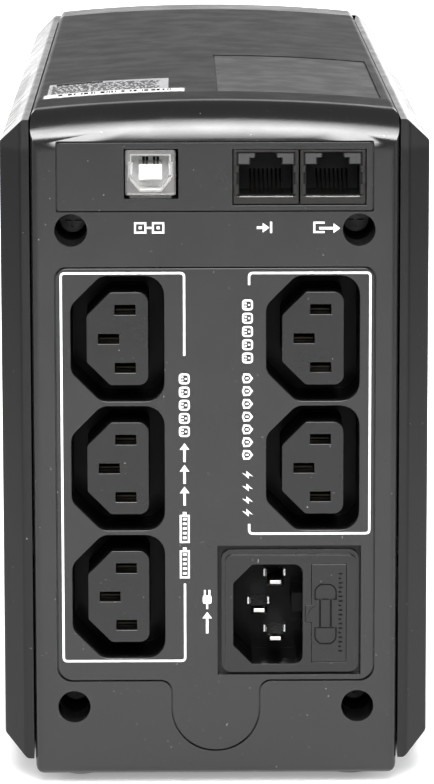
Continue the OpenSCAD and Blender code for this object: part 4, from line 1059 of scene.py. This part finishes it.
def floor_material():
    """Pale paper that glows where it lies round and behind the object, so that it stays white."""
    n = Nodes("floor")
    n.surface.inputs["Base Color"].default_value = (0.82, 0.82, 0.82, 1.0)
    n.surface.inputs["Roughness"].default_value = 0.7
    n.surface.inputs["Specular IOR Level"].default_value = 0.1
    n.surface.inputs["Emission Color"].default_value = (1.0, 1.0, 1.0, 1.0)
    axes = n.axes()
    aside = n.ramp(n.math("ABSOLUTE", axes["X"]), 500, 1400, 1.0, 0.0)
    behind = n.ramp(axes["Y"], -150, 400, 0.0, 1.0)
    glow = n.math("MULTIPLY", n.math("MULTIPLY", aside, behind), FLOOR_GLOW)
    n.put(n.math("ADD", glow, FLOOR_BASE_GLOW), n.surface.inputs["Emission Strength"])
    return n.material


def studio_world():
    """Dim surroundings with a low pale backdrop behind the object, brighter towards its sides."""
    world = bpy.data.worlds.new("studio")
    world.use_nodes = True
    tree = world.node_tree
    place = tree.nodes.new("ShaderNodeTexCoord")
    split = tree.nodes.new("ShaderNodeSeparateXYZ")
    tree.links.new(place.outputs["Generated"], split.inputs[0])

    def ramp(value, low, high, to_low, to_high):
        node = tree.nodes.new("ShaderNodeMapRange")
        node.interpolation_type = "SMOOTHSTEP"
        tree.links.new(value, node.inputs["Value"])
        for name, number in (("From Min", low), ("From Max", high), ("To Min", to_low), ("To Max", to_high)):
            node.inputs[name].default_value = number
        return node.outputs["Result"]

    def combine(operation, a, b):
        node = tree.nodes.new("ShaderNodeMath")
        node.operation = operation
        tree.links.new(a, node.inputs[0])
        if isinstance(b, bpy.types.NodeSocket):
            tree.links.new(b, node.inputs[1])
        else:
            node.inputs[1].default_value = b
        return node.outputs[0]

    low = ramp(split.outputs["Z"], 0.02, 0.45, 1.0, 0.0)
    aside = combine("ABSOLUTE", split.outputs["X"], 0.0)
    rear_glow = ramp(aside, 0.04, 0.24, BACKDROP, BACKDROP_SIDE)
    rear_glow = combine("MULTIPLY", rear_glow, ramp(split.outputs["X"], -0.25, 0.05, 0.7, 1.0))
    rear_glow = combine("MULTIPLY", rear_glow, ramp(split.outputs["Y"], 0.3, 0.8, 0.0, 1.0))
    behind = combine("MULTIPLY", low, rear_glow)
    tree.links.new(combine("ADD", behind, SURROUNDINGS), tree.nodes["Background"].inputs["Strength"])
    tree.nodes["Background"].inputs["Color"].default_value = (1.0, 1.0, 1.0, 1.0)
    bpy.context.scene.world = world


floor_mesh = bpy.data.meshes.new("floor")
floor_mesh.from_pydata([(-5, -5, 0), (5, -5, 0), (5, 5, 0), (-5, 5, 0)], [], [(0, 1, 2, 3)])
floor_mesh.materials.append(floor_material())
floor = bpy.data.objects.new("floor", floor_mesh)
bpy.context.scene.collection.objects.link(floor)

studio_world()
bpy.context.scene.view_settings.view_transform = "Standard"

area_light("softbox_rear", (0.0, -1.31, 1.1), (0, -0.14, 0.16), (0.8, 1.8), SOFTBOX_POWER, 66)
for name, side in (("softbox_left", -1), ("softbox_right", 1)):
    area_light(name, (side * 1.3, 1.0, 0.95), (0, 0, 0.1), (0.9, 0.9), SOFTBOX_POWER)
